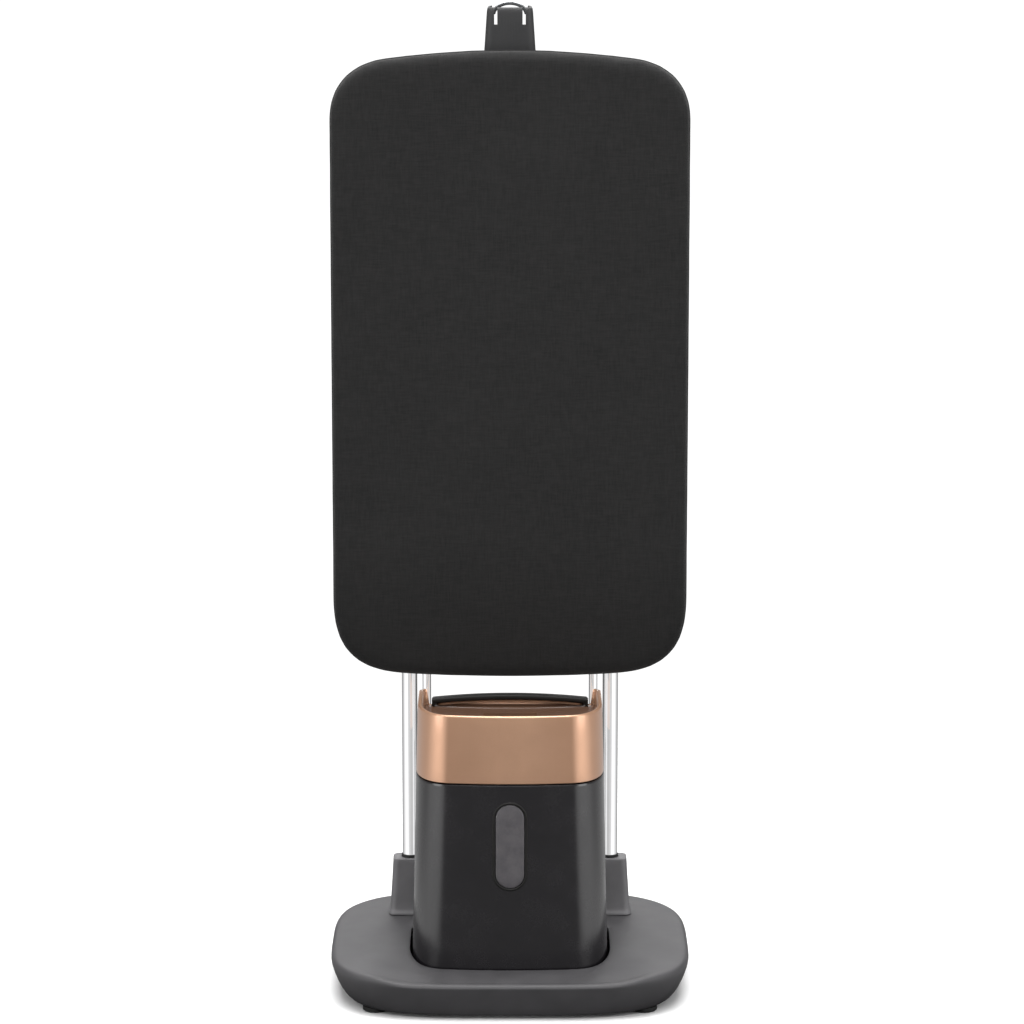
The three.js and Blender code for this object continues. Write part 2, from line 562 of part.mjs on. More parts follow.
function addBoard() {
  const { front, back, cover, pad, panel } = BOARD;
  const padFront = front + cover + GAP;
  const panelFront = padFront + pad + GAP;
  const bag = cut(slab(boardFace(0), front, back - 2), slab(boardFace(cover), padFront - GAP, back + 1));
  piece("board_cover", bag, MATERIAL.fabric);
  piece("board_pad", slab(boardFace(cover + 0.5), padFront, padFront + pad), MATERIAL.felt);

  const face = slab(boardFace(cover + 0.5), panelFront, back);
  const hollow = slab(boardFace(cover + 6), panelFront + panel, back + 1);
  const uprightRib = (x) => block(x - 1.5, x + 1.5, panelFront + 1, back - 1, 370, 1020);
  const levelRib = (z) => block(-203, 203, panelFront + 1, back - 1, z - 1.5, z + 1.5);
  const ribs = [...[-120, -44, 44, 120].map(uprightRib), ...[420, 560, 640, 760, 860, 980].map(levelRib)]
    .map((rib) => common(rib, face));
  const pads = [
    block(-98, -34, panelFront + 1, back, 640, 760),
    block(34, 98, panelFront + 1, back, 640, 760),
    block(-36, 36, panelFront + 1, back, 978, 1036),
    block(-46, 46, panelFront + 1, back, 600, 660),
  ];
  piece("board_panel", join(cut(face, hollow), ...ribs, ...pads), MATERIAL.panel);

  pair("board_bracket", MATERIAL.steel, (side) => {
    const x = side * 64;
    const plate = block(x - 24, x + 24, back + GAP, back + 4, 652, 748);
    const arm = block(x - 8, x + 8, back + 2, HINGE.y, HINGE.z - 12, HINGE.z + 12);
    const knuckle = rod("x", HINGE.knuckle, x - 8, x + 8, HINGE.y, HINGE.z);
    return cut(
      join(plate, arm, knuckle),
      rod("x", HINGE.shaft + 0.2, x - 10, x + 10, HINGE.y, HINGE.z),
      rod("x", BOLT.radius + 0.4, x - 10, x + 10, BOLT.y, HINGE.z, SMALL_ROUND),
    );
  });
  for (const [level, z] of [["upper", 738], ["lower", 662]])
    pair("bracket_screw_" + level, MATERIAL.steel, (side) => {
      const x = side * 80;
      const slot = block(x - 3, x + 3, back + 6, back + 8, z - 0.6, z + 0.6);
      return cut(rod("y", 4.5, back + 4 + GAP, back + 7, x, z, SMALL_ROUND), slot);
    });

  pair("latch_bolt", MATERIAL.steel, (side) => {
    const [from, to] = side > 0 ? [BOLT.inner, BOLT.tip] : [-BOLT.tip, -BOLT.inner];
    const head = side > 0 ? [BOLT.inner, BOLT.inner + 6] : [-BOLT.inner - 6, -BOLT.inner];
    return join(
      rod("x", BOLT.radius, from, to, BOLT.y, HINGE.z, SMALL_ROUND),
      rod("x", 6, head[0], head[1], BOLT.y, HINGE.z, SMALL_ROUND),
    );
  });

  const { y, z, squeezed } = LEVER;
  const cheeks = join(
    block(-40, 40, back + GAP, back + 3, z - 12, z + 8),
    block(-40, -34, back + 1, y + 5, z - 12, z + 8),
    block(34, 40, back + 1, y + 5, z - 12, z + 8),
    rod("x", 2, -36, 36, y, z, SMALL_ROUND),
  );
  piece("lever_mount", cheeks, MATERIAL.blackPlastic);
  const paddle = loft([
    { points: rectangle(0, 0.6, 26, 1.6), z: -62 },
    { points: rectangle(0, 0, 31, 2.4), z: -44 },
    { points: rectangle(0, 0, 31, 2.4), z: 0 },
  ]);
  const grip = cut(
    join(paddle, rod("x", 4, -31, 31, 0, 0, SMALL_ROUND)),
    rod("x", 2.3, -40, 40, 0, 0, SMALL_ROUND),
  );
  grip.rotateX(THREE.MathUtils.degToRad(squeezed)).translate(0, y, z);
  piece("tilt_lever", grip, MATERIAL.greyPlastic);
}

function addIronRest() {
  const { halfBottom, halfTop, front, back, bottom, top, wall } = REST;
  const mid = (front + back) / 2;
  const depth = (back - front) / 2;
  const halfAt = (z) => THREE.MathUtils.lerp(halfBottom, halfTop, (z - bottom) / (top - bottom));
  const ring = (z, inset) => ({
    points: softRectangle(0, mid, halfAt(z) - inset, depth - inset, 7 - inset / 2),
    z,
  });
  const outside = loft([ring(bottom, 0), ring(top - 4, 0), ring(top, 2)]);
  const pocket = loft([ring(top - 50, wall), ring(top + 5, wall)]);
  const slots = [-1, 1].map((side) =>
    block(side * 15.8 - 1.7, side * 15.8 + 1.7, front - 2, front + 10, top - 19, top + 5),
  );
  const openBack = block(-20, 20, back - 10, back + 5, top - 46, top + 5);
  const hollowBack = block(-24, 24, front + 8, back + 5, bottom - 1, top - 58);
  piece("iron_rest", cut(outside, pocket, ...slots, openBack, hollowBack), MATERIAL.greyPlastic);
  const band = slab(arch(19.5, top - 11.5, top - 0.5, top + 4.5), back - 5, back - 1.5, 8);
  piece("rest_strap", band, MATERIAL.steel);
}

addBase();
addPoles();
addGenerator();
addGeneratorInside();
addTank();
addCordAndButton();
addCarriage();
addBoard();
addIronRest();

export default press;
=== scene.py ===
"""The looks of an upright garment press: a padded board on chrome poles, a steam generator and a wide base.
Metres, +Z up, and the front faces -Y, as in the frame."""

import json
import math

import bmesh
import bpy
import numpy as np
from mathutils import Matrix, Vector
from mathutils.bvhtree import BVHTree


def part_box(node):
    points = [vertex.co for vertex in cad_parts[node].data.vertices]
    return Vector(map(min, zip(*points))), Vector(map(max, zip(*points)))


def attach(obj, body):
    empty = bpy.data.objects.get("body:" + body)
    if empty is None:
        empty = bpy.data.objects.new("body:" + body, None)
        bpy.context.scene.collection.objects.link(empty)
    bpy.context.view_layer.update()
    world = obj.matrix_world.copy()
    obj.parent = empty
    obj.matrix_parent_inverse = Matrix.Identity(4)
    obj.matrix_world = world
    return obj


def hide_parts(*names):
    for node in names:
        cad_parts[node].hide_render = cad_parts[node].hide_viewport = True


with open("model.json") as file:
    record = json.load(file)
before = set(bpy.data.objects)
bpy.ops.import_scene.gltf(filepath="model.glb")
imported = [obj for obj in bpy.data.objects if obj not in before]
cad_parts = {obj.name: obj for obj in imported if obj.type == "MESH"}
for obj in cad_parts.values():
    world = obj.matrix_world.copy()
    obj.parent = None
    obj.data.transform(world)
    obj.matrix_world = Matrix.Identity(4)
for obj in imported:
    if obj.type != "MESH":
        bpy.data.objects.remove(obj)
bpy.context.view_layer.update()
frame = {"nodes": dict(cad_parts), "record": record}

SIDES = ("left", "right")
BODY_LOW, BODY_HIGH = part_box("generator_housing")[0].z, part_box("tank_cap")[1].z
CAP_WING = 0.0165
SLOT_OF = {part["node"]: part["material_slot"] for part in frame["record"]["subparts"]}
BODY_OF = {node: body for body, names in frame["record"]["behaviour"]["bodies"].items() for node in names}


# ---- materials
def srgb(*values):
    """A colour's linear values from its values on screen, 0 to 255."""
    linear = [(v / 255 / 12.92) if v <= 10 else ((v / 255 + 0.055) / 1.055) ** 2.4 for v in values]
    return (*linear, 1)


class Shader:
    """A material's node tree with short ways to add to it."""

    def __init__(self, name):
        self.material = bpy.data.materials.new(name)
        self.material.use_nodes = True
        self.tree = self.material.node_tree
        self.bsdf = self.tree.nodes["Principled BSDF"]
        self.place = self.add("TexCoord").outputs["Object"]

    def add(self, kind, inputs=(), **settings):
        node = self.tree.nodes.new("ShaderNode" + kind)
        for key, value in settings.items():
            setattr(node, key, value)
        for key, value in dict(inputs).items():
            self.put(node.inputs[key], value)
        return node

    def put(self, socket, value):
        if isinstance(value, bpy.types.NodeSocket):
            self.tree.links.new(value, socket)
        else:
            socket.default_value = value

    def maths(self, operation, *values):
        return self.add("Math", enumerate(values), operation=operation).outputs[0]

    def times(self, a, b):
        return self.maths("MULTIPLY", a, b)

    def plus(self, a, b):
        return self.maths("ADD", a, b)

    def geometry(self, name):
        return self.add("NewGeometry").outputs[name]

    def axes(self, vector):
        return self.add("SeparateXYZ", {"Vector": vector}).outputs

    def noise(self, scale, detail=2.0, stretch=(1, 1, 1), roughness=0.5):
        vector = self.add("VectorMath", {0: self.place, 1: stretch}, operation="MULTIPLY").outputs[0]
        inputs = {"Vector": vector, "Scale": scale, "Detail": detail, "Roughness": roughness}
        return self.add("TexNoise", inputs).outputs["Fac"]

    def spread(self, value, low, high, start=0.3, end=0.7):
        inputs = {"Value": value, "From Min": start, "From Max": end, "To Min": low, "To Max": high}
        return self.add("MapRange", inputs).outputs[0]

    def mix(self, share, a, b):
        return self.add("Mix", {0: share, 6: a, 7: b}, data_type="RGBA").outputs[2]

    def bump(self, height, depth, normal=None):
        inputs = {"Height": height, "Distance": depth, "Strength": 1.0}
        if normal is not None:
            inputs["Normal"] = normal
        return self.add("Bump", inputs).outputs["Normal"]

    def surface(self, **inputs):
        for key, value in inputs.items():
            self.put(self.bsdf.inputs[key.replace("_", " ")], value)
        return self.material


def shade(colour, factor):
    return (*[min(1.0, c * factor) for c in colour[:3]], 1)


def moulded(name, colour, roughness, grain, depth, wear=1.35, **extra):
    """Moulded plastic or rubber: fine grain, faint mottling, and edges rubbed a little lighter."""
    s = Shader(name)
    mottle = s.noise(38, 4)
    base = s.mix(s.spread(mottle, 0, 1), shade(colour, 0.9), shade(colour, 1.1))
    edge = s.spread(s.geometry("Pointiness"), 0, 0.7, 0.52, 0.62)
    rub = s.times(edge, s.spread(s.noise(240, 3), 0.2, 1))
    fine = s.noise(grain, 3, roughness=0.6)
    rough = s.plus(s.spread(mottle, roughness - 0.04, roughness + 0.05), s.spread(fine, -0.03, 0.03))
    base = s.mix(rub, base, shade(colour, wear))
    return s.surface(Base_Color=base, Roughness=rough, Normal=s.bump(fine, depth), **extra)


def metal(name, colour, roughness, stretch=(1, 1, 1), depth=4e-6, streak=900, **extra):
    """Bare metal: streaks along one direction, smudges, and a slight change of tone."""
    s = Shader(name)
    lines = s.noise(streak, 2, stretch)
    smudge = s.noise(26, 5, roughness=0.65)
    rough = s.plus(s.spread(smudge, roughness * 0.75, roughness * 1.3), s.spread(lines, -0.02, 0.03))
    base = s.mix(s.spread(lines, 0, 1), shade(colour, 0.93), shade(colour, 1.04))
    return s.surface(Base_Color=base, Metallic=1.0, Roughness=rough, Normal=s.bump(lines, depth), **extra)


def chrome():
    """Polished chrome with a painted glow for the bright studio it mirrors, a painted dark reflection of the
    body where a tube turns inward, and painted shade towards its silhouettes.
    """
    s = Shader("chrome")
    smudge = s.noise(26, 5, roughness=0.65)
    lines = s.noise(60, 2, (1, 1, 0.1))
    turn = s.axes(s.geometry("Normal"))[0]
    side = s.maths("SIGN", s.axes(s.place)[0])
    inward = s.times(turn, s.times(side, -1))
    # Painted reflection: a dark line on the tube's inner side stands in for the black body mirrored there.
    line = s.spread(inward, 0, 1, 0.7, 0.92)
    facing = s.add("LayerWeight", {"Blend": 0.4}).outputs["Facing"]
    # Painted glow: emission, strongest where the tube faces the camera, stands in for the bright studio
    # mirrored in the chrome.
    painted_glow = s.times(s.spread(facing, 0.52, 0.02, 0.05, 0.6), s.maths("SUBTRACT", 1, line))
    painted_glow = s.times(painted_glow, s.spread(smudge, 0.94, 1.04))
    # Painted shade: the colour darkens towards the silhouettes.
    base = s.mix(s.spread(facing, 0, 1, 0.35, 0.85), (0.54, 0.54, 0.55, 1), (0.36, 0.36, 0.37, 1))
    # The painted dark reflection is mixed into the colour here.
    base = s.mix(line, base, (0.1, 0.095, 0.095, 1))
    return s.surface(Base_Color=base, Metallic=1.0, Roughness=s.spread(smudge, 0.05, 0.1),
                     Normal=s.bump(lines, 5e-7), Emission_Color=(1, 1, 1, 1), Emission_Strength=painted_glow)


def copper_paint():
    """Satin paint with a fine flake, with painted shade where the front turns away and painted dark shade,
    duller too, on the recess floor.
    """
    s = Shader("copper_paint")
    flake = s.add("TexVoronoi", {"Vector": s.place, "Scale": 2600.0}).outputs["Color"]
    sparkle = s.add("SeparateColor", {"Color": flake}).outputs[0]
    cloud = s.noise(22, 3)
    base = s.mix(s.spread(cloud, 0, 1), srgb(226, 176, 142), srgb(236, 186, 152))
    base = s.mix(s.times(sparkle, 0.12), base, srgb(250, 222, 196))
    height = s.axes(s.place)[2]
    sideways, _, upward = s.axes(s.geometry("Normal"))
    # Painted shade: the colour darkens where the front turns sideways towards the corners.
    turn = s.maths("ABSOLUTE", sideways)
    base = s.mix(s.spread(turn, 0, 0.75, 0.03, 0.15), base, srgb(202, 156, 126))
    # Painted recess shade: faces that look up below the rim turn dark brown, and are also made rougher and
    # less metallic.
    below = s.maths("LESS_THAN", height, BODY_HIGH - CAP_WING)
    sunk_shade = s.times(s.spread(upward, 0, 1, 0.3, 0.7), below)
    base = s.mix(sunk_shade, base, srgb(88, 60, 42))
    rough = s.plus(s.spread(cloud, 0.28, 0.34), s.times(sparkle, 0.05))
    rough = s.plus(rough, s.times(sunk_shade, 0.3))
    normal = s.bump(s.noise(1400, 2), 6e-6, s.bump(sparkle, 4e-6))
    metallic = s.spread(sunk_shade, 0.6, 0.05, 0, 1)
    return s.surface(Base_Color=base, Metallic=metallic, Roughness=rough, Normal=normal, Coat_Weight=0.5,
                     Coat_Roughness=0.15)


def cover_cloth():
    """Plain-woven heat-proof cloth: crossing threads, uneven yarn, a soft bloom of lint, and painted shade
    towards the bottom.
    """
    s = Shader("cover_fabric")
    x, y, z = s.axes(s.place)
    pitch = 0.0008
    warp = s.maths("SINE", s.times(s.plus(x, y), math.pi / pitch))
    weft = s.maths("SINE", s.times(s.plus(z, y), math.pi / pitch))
    over = s.maths("GREATER_THAN", s.times(warp, weft), 0)
    threads = s.plus(s.times(s.maths("ABSOLUTE", warp), over),
                     s.times(s.maths("ABSOLUTE", weft), s.maths("SUBTRACT", 1, over)))
    yarn = s.plus(s.noise(900, 2, (1, 1, 0.05)), s.noise(900, 2, (0.05, 1, 1)))
    lint = s.noise(9, 6, roughness=0.7)
    base = s.mix(s.spread(yarn, 0, 1, 0.75, 1.25), srgb(31, 31, 31), srgb(38, 38, 38))
    slub = s.plus(s.noise(640, 2, (0.12, 0.12, 1)), s.noise(640, 2, (1, 0.12, 0.12)))
    base = s.mix(s.spread(slub, 0, 0.7, 0.8, 1.3), base, srgb(46, 45, 45))
    base = s.mix(s.spread(threads, 0.3, 0, 0, 0.8), base, srgb(24, 24, 24))
    base = s.mix(s.spread(lint, 0, 0.1, 0.4, 0.8), base, srgb(66, 65, 64))
    # Painted shade: the cloth darkens towards the bottom, where the board curves under.
    base = s.mix(s.spread(z, 0.55, 0, 0.33, 0.5), base, srgb(14, 14, 14))
    normal = s.bump(yarn, 4e-5, s.bump(threads, 1.0e-4))
    normal = s.bump(s.noise(60, 3), 1.2e-4, normal)
    return s.surface(Base_Color=base, Roughness=0.92, Normal=normal, Sheen_Weight=0.12, Sheen_Roughness=0.5,
                     Specular_IOR_Level=0.2)


def felt():
    s = Shader("pad_felt")
    fibre = s.noise(700, 6, (1, 0.4, 1), 0.75)
    base = s.mix(s.spread(fibre, 0, 1), srgb(150, 144, 132), srgb(196, 190, 178))
    return s.surface(Base_Color=base, Roughness=0.97, Normal=s.bump(fibre, 4e-4), Sheen_Weight=0.3)


def smoke_clear():
    """Smoke-tinted clear plastic with limescale bloom."""
    s = Shader("smoke_clear")
    bloom = s.noise(70, 5, roughness=0.7)
    base = s.mix(s.spread(bloom, 0, 1), srgb(108, 105, 109), srgb(124, 121, 124))
    rough = s.spread(bloom, 0.12, 0.26)
    return s.surface(Base_Color=base, Roughness=rough, Transmission_Weight=0.35, IOR=1.45,
                     Normal=s.bump(s.noise(500, 2), 8e-6))


def circuit_board():
    s = Shader("circuit_board")
    inputs = {"Vector": s.place, "Scale": 240.0, "Randomness": 0.0}
    pads = s.add("TexVoronoi", inputs, distance="CHEBYCHEV").outputs["Distance"]
    track = s.spread(pads, 1, 0, 0.1, 0.14)
    base = s.mix(track, srgb(24, 84, 52), srgb(196, 168, 96))
    return s.surface(Base_Color=base, Roughness=s.spread(s.noise(90, 3), 0.3, 0.5), Normal=s.bump(pads, 1e-4))


def cord_jacket():
    """A braided cord's jacket."""
    s = Shader("cord_braid")
    waves = []
    for direction, distortion in (("DIAGONAL", 0.4), ("X", 0.6), ("Z", 0.6)):
        inputs = {"Vector": s.place, "Scale": 150.0, "Distortion": distortion}
        waves.append(s.add("TexWave", inputs, bands_direction=direction).outputs["Fac"])
    braid = s.times(s.plus(waves[0], waves[1]), waves[2])
    base = s.mix(s.spread(braid, 0, 1, 0, 1.4), srgb(16, 16, 16), srgb(48, 48, 48))
    return s.surface(Base_Color=base, Roughness=0.75, Normal=s.bump(braid, 3e-4))


MATERIAL = {
    "cover_fabric": cover_cloth(),
    "pad_felt": felt(),
    "panel_plastic": moulded("panel_plastic", srgb(43, 43, 44), 0.62, 1500, 9e-5),
    "grey_plastic": moulded("grey_plastic", srgb(66, 65, 67), 0.55, 1900, 5e-5, 1.25),
    "black_plastic": moulded("black_plastic", srgb(26, 24, 27), 0.24, 1700, 1.5e-6, 1.6,
                             Specular_IOR_Level=0.9),
    "copper_paint": copper_paint(),
    "chrome": chrome(),
    "steel": metal("steel", srgb(168, 170, 172), 0.34, (1, 1, 0.04)),
    "rubber": moulded("rubber", srgb(30, 30, 30), 0.8, 1200, 6e-5, 1.5),
    "smoke_clear": smoke_clear(),
    "brass": metal("brass", srgb(190, 158, 92), 0.28, (1, 0.05, 1)),
    "circuit_board": circuit_board(),
}
# Painted shade for the filler flap: a dark brown that stands in for the shade of the recess it sits in.
FLAP_SHADE = moulded("painted_recess_shade", srgb(78, 54, 38), 0.6, 1500, 1e-5, Specular_IOR_Level=0.15)
MATT_BLACK = moulded("matt_black", srgb(24, 23, 22), 0.55, 1700, 1e-5, Specular_IOR_Level=0.3)
SOCKET_PLASTIC = moulded("socket_plastic", srgb(108, 107, 109), 0.55, 1900, 5e-5, 1.2)
BRAID = cord_jacket()
THREAD = moulded("sewing_thread", srgb(58, 58, 58), 0.7, 2500, 5e-5)


# ---- mesh helpers
def mesh_object(name, points, faces):
    mesh = bpy.data.meshes.new(name)
    mesh.from_pydata([tuple(map(float, p)) for p in points], [], faces)
    obj = bpy.data.objects.new(name, mesh)
    bpy.context.scene.collection.objects.link(obj)
    tidy(obj)
    return obj


def edit(obj, change):
    """Runs change(bm) on the object's mesh."""
    bm = bmesh.new()
    bm.from_mesh(obj.data)
    change(bm)
    bm.to_mesh(obj.data)
    bm.free()
    obj.data.update()


def tidy(obj, distance=1e-6):
    def change(bm):
        bmesh.ops.remove_doubles(bm, verts=bm.verts, dist=distance)
        bmesh.ops.dissolve_degenerate(bm, edges=bm.edges, dist=1e-7)
        bmesh.ops.recalc_face_normals(bm, faces=bm.faces)

    edit(obj, change)


def smooth(obj, angle=35):
    obj.data.shade_smooth()
    obj.data.set_sharp_from_angle(angle=math.radians(angle))


def apply_modifiers(obj):
    graph = bpy.context.evaluated_depsgraph_get()
    made = bpy.data.meshes.new_from_object(obj.evaluated_get(graph))
    obj.modifiers.clear()
    obj.data = made


def modify(obj, kind, **settings):
    modifier = obj.modifiers.new(kind, kind)
    for key, value in settings.items():
        setattr(modifier, key, value)


def bevel(obj, width, segments=3):
    modify(obj, "BEVEL", width=width, segments=segments, limit_method="ANGLE",
           angle_limit=math.radians(35), use_clamp_overlap=True)
    apply_modifiers(obj)


def cut(obj, *tools):
    """Takes each tool's shape out of the object."""
    for tool in tools:
        modify(obj, "BOOLEAN", operation="DIFFERENCE", solver="EXACT", object=tool)
    apply_modifiers(obj)
    for tool in tools:
        bpy.data.objects.remove(tool)
    tidy(obj, 2e-6)


def shell(name, rings, loop=False):
    """A skin through closed rings of points, either joined in a loop or filled at both ends."""
    rings = np.array(rings, float)
    total, count = rings.shape[:2]
    faces = []
    for r in range(total if loop else total - 1):
        s = (r + 1) % total
        faces += [(r * count + i, r * count + (i + 1) % count, s * count + (i + 1) % count, s * count + i)
                  for i in range(count)]
    if not loop:
        faces += [tuple(range(count)), tuple(range((total - 1) * count, total * count))]
    return mesh_object(name, rings.reshape(-1, 3), faces)


def turned(name, profile, at, axis="z", sides=64, loop=False):
    """A turned piece: profile is (radius, height) along the axis, counted from at."""
    angles = np.arange(sides) * 2 * math.pi / sides
    rings = []
    for radius, height in profile:
        ring = np.stack([radius * np.cos(angles), radius * np.sin(angles), np.full(sides, height)], 1)
        rings.append(ring)
    rings = np.array(rings)
    if axis == "y":
        rings = rings[..., [0, 2, 1]]
    if axis == "x":
        rings = rings[..., [2, 0, 1]]
    return shell(name, rings + np.array(at), loop)


def box(name, low, high):
    x, y, z = zip(low, high)
    points = [(a, b, c) for a in x for b in y for c in z]
    faces = [(0, 1, 3, 2), (4, 6, 7, 5), (0, 4, 5, 1), (2, 3, 7, 6), (0, 2, 6, 4), (1, 5, 7, 3)]
    return mesh_object(name, points, faces)


def bezier(*control, count):
    """Points of a Bezier curve, without its last one."""
    t = np.linspace(0, 1, count, endpoint=False)[:, None]
    points = [np.array(p, float) + 0 * t for p in control]
    while len(points) > 1:
        points = [(1 - t) * a + t * b for a, b in zip(points, points[1:])]
    return points[0]


def along_rays(outline, centre, count):
    """Where evenly turned rays from the centre meet a dense outline."""
    offset = outline - np.array(centre)
    angle = np.arctan2(offset[:, 1], offset[:, 0])
    order = np.argsort(angle)
    angle, radius = angle[order], np.hypot(*offset.T)[order]
    rays = np.arange(count) * 2 * math.pi / count - math.pi
    reach = np.interp(rays, angle, radius, period=2 * math.pi)
    return np.stack([np.cos(rays), np.sin(rays)], 1) * reach[:, None] + np.array(centre)


def level(points, z):
    """Plan points lifted to a height, or to one height each."""
    return np.column_stack([points, np.broadcast_to(z, len(points))])


def soft_rectangle(x, y, half_x, half_y, corner, count):
    quarter = np.linspace(0, math.pi / 2, 24)
    centres = [(1, 1), (-1, 1), (-1, -1), (1, -1)]
    points = [
        (x + i * (half_x - corner) + corner * math.cos(a + k * math.pi / 2),
         y + j * (half_y - corner) + corner * math.sin(a + k * math.pi / 2))
        for k, (i, j) in enumerate(centres) for a in quarter
    ]
    dense = np.array(points)
    steps = np.linspace(0, 1, 12, endpoint=False)[:, None]
    dense = np.concatenate([a * (1 - steps) + b * steps for a, b in zip(dense, np.roll(dense, -1, 0))])
    return along_rays(dense, (x, y), count)


def swept(name, path, section, closed=False):
    """A section of (across, up) points carried along a path, kept upright by the world's Y axis."""
    path = np.array(path, float)
    ahead = np.roll(path, -1, 0) - np.roll(path, 1, 0)
    if not closed:
        ahead[0], ahead[-1] = path[1] - path[0], path[-1] - path[-2]
    rings = []
    for point, direction in zip(path, ahead):
        forward = Vector(direction).normalized()
        depth = Vector((0, 1, 0))
        side = forward.cross(depth).normalized()
        depth = side.cross(forward)
        rings.append([point + a * np.array(side) + b * np.array(depth) for a, b in section])
    return shell(name, rings, loop=closed)


def middle(node):
    """The middle of a node's box."""
    return [(a + b) / 2 for a, b in zip(*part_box(node))]


def upright(node):
    """Where a node's upright axis meets the ground, its half width, and its bottom and top."""
    low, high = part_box(node)
    return (*middle(node)[:2], 0), (high.x - low.x) / 2, low.z, high.z


def circle(radius, sides=16):
    angles = np.arange(sides) * 2 * math.pi / sides
    return np.stack([radius * np.cos(angles), radius * np.sin(angles)], 1)


def place(obj, body, slot, *stands_for, angle=35, material=None):
    """Gives a piece its body, its finish and the CAD nodes it stands for."""
    obj.data.materials.clear()
    obj.data.materials.append(material or MATERIAL[slot])
    if obj.type == "MESH":
        smooth(obj, angle)
    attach(obj, body)
    if stands_for:
        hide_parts(*stands_for)
    return obj


def refined(node, width, segments=2, material=None):
    """A node's own shape with its edges rounded."""
    obj = bpy.data.objects.new(node + "_fine", frame["nodes"][node].data.copy())
    bpy.context.scene.collection.objects.link(obj)
    normals = obj.data.attributes.get("custom_normal")
    if normals:
        obj.data.attributes.remove(normals)

    def change(bm):
        bmesh.ops.remove_doubles(bm, verts=bm.verts, dist=2e-6)
        bmesh.ops.dissolve_limit(bm, angle_limit=math.radians(0.6), verts=bm.verts, edges=bm.edges)

    edit(obj, change)
    bevel(obj, width, segments)
    return place(obj, BODY_OF[node], SLOT_OF[node], node, material=material)


# ---- outlines shared with the frame
RAYS = 256
HUB = (0, -0.05)
BODY_BACK = 0.027
BODY_FRONT, BODY_LEAN = -0.12, 0.004
BODY_HALF_LOW, BODY_HALF_HIGH = 0.111, 0.1035
WINDOW_GAP = 0.0004
CROWN, CORNER_WIDTH, CORNER_DEPTH = 0.005, 0.036, 0.062
BASE_LOW, BASE_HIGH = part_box("base_cover")
DIP = 0.006


def body_plan(z, inset=0.0, rays=None):
    """The generator's plan at a height: a nearly flat front, long round corners and a flat back."""
    rise = (z - BODY_LOW) / (BODY_HIGH - BODY_LOW)
    half = BODY_HALF_LOW + (BODY_HALF_HIGH - BODY_HALF_LOW) * rise - inset
    front = BODY_FRONT + BODY_LEAN * rise + inset
    rear = BODY_BACK - inset
    width, depth = CORNER_WIDTH - inset, CORNER_DEPTH - inset
    back_corner = max(0.012 - inset, 0.002)
    flat, shoulder = half - width, front + CROWN
    lean = width * 0.55 * CROWN / (flat / 2)
    right = np.concatenate([
        bezier((0, front), (flat / 2, front), (flat, shoulder), count=40),
        bezier((flat, shoulder), (half - width * 0.45, shoulder + lean), (half, shoulder + depth * 0.4),
               (half, shoulder + depth), count=48),
        bezier((half, shoulder + depth), (half, rear - back_corner), count=24),
        bezier((half, rear - back_corner), (half, rear), (half - back_corner, rear), count=16),
        bezier((half - back_corner, rear), (0, rear), count=24),
    ])
    left = (right * (-1, 1))[::-1]
    outline = np.concatenate([right, [(0, rear)], left[:-1]])
    return outline if rays is None else along_rays(outline, HUB, rays)


def base_plan(inset, lean=1.0, count=2048):
    """The base's plan drawn inside its widest line; lean is the share of the inset at the front and back."""
    angle = np.arange(count) * 2 * math.pi / count
    cos, sin = np.cos(angle), np.sin(angle)
    power = np.where(sin < 0, 4.0, 3.3)
    x = np.sign(cos) * np.abs(cos) ** (2 / power) * (BASE_HIGH.x - inset)
    y = np.sign(sin) * np.abs(sin) ** (2 / power) * (BASE_HIGH.y - inset * lean)
    return along_rays(np.stack([x, y], 1), HUB, RAYS)


def board_face(inset, half, low, high, count=40):
    """The board's outline in X and Z."""
    half, high, low = half - inset, high - inset, low + inset
    foot, foot_side = (0.12, low + 0.0034), (half, low + 0.09)
    head, head_side = (0.14, high - 0.0095), (half, high - 0.078)
    right = np.concatenate([
        bezier((0, low), (foot[0] / 2, low), foot, count=count),
        bezier(foot, (half - 0.024, low + 0.007), (half, low + 0.032), foot_side, count=count),
        bezier(foot_side, head_side, count=count),
        bezier(head_side, (half, high - 0.034), (half - 0.028, high - 0.0147), head, count=count),
        bezier(head, (head[0] / 2, high), (0, high), count=count),
    ])
    left = (right * (-1, 1))[::-1]
    return np.concatenate([right, [(0, high)], left[:-1]])


def stadium(half, low, high, count=48):
    arc = np.linspace(0, math.pi, count)
    top = np.stack([half * np.cos(arc), high - half + half * np.sin(arc)], 1)
    bottom = np.stack([-half * np.cos(arc), low + half - half * np.sin(arc)], 1)
    return np.concatenate([top, bottom])


def smoothstep(value, low, high):
    t = np.clip((value - low) / (high - low), 0, 1)
    return t * t * (3 - 2 * t)


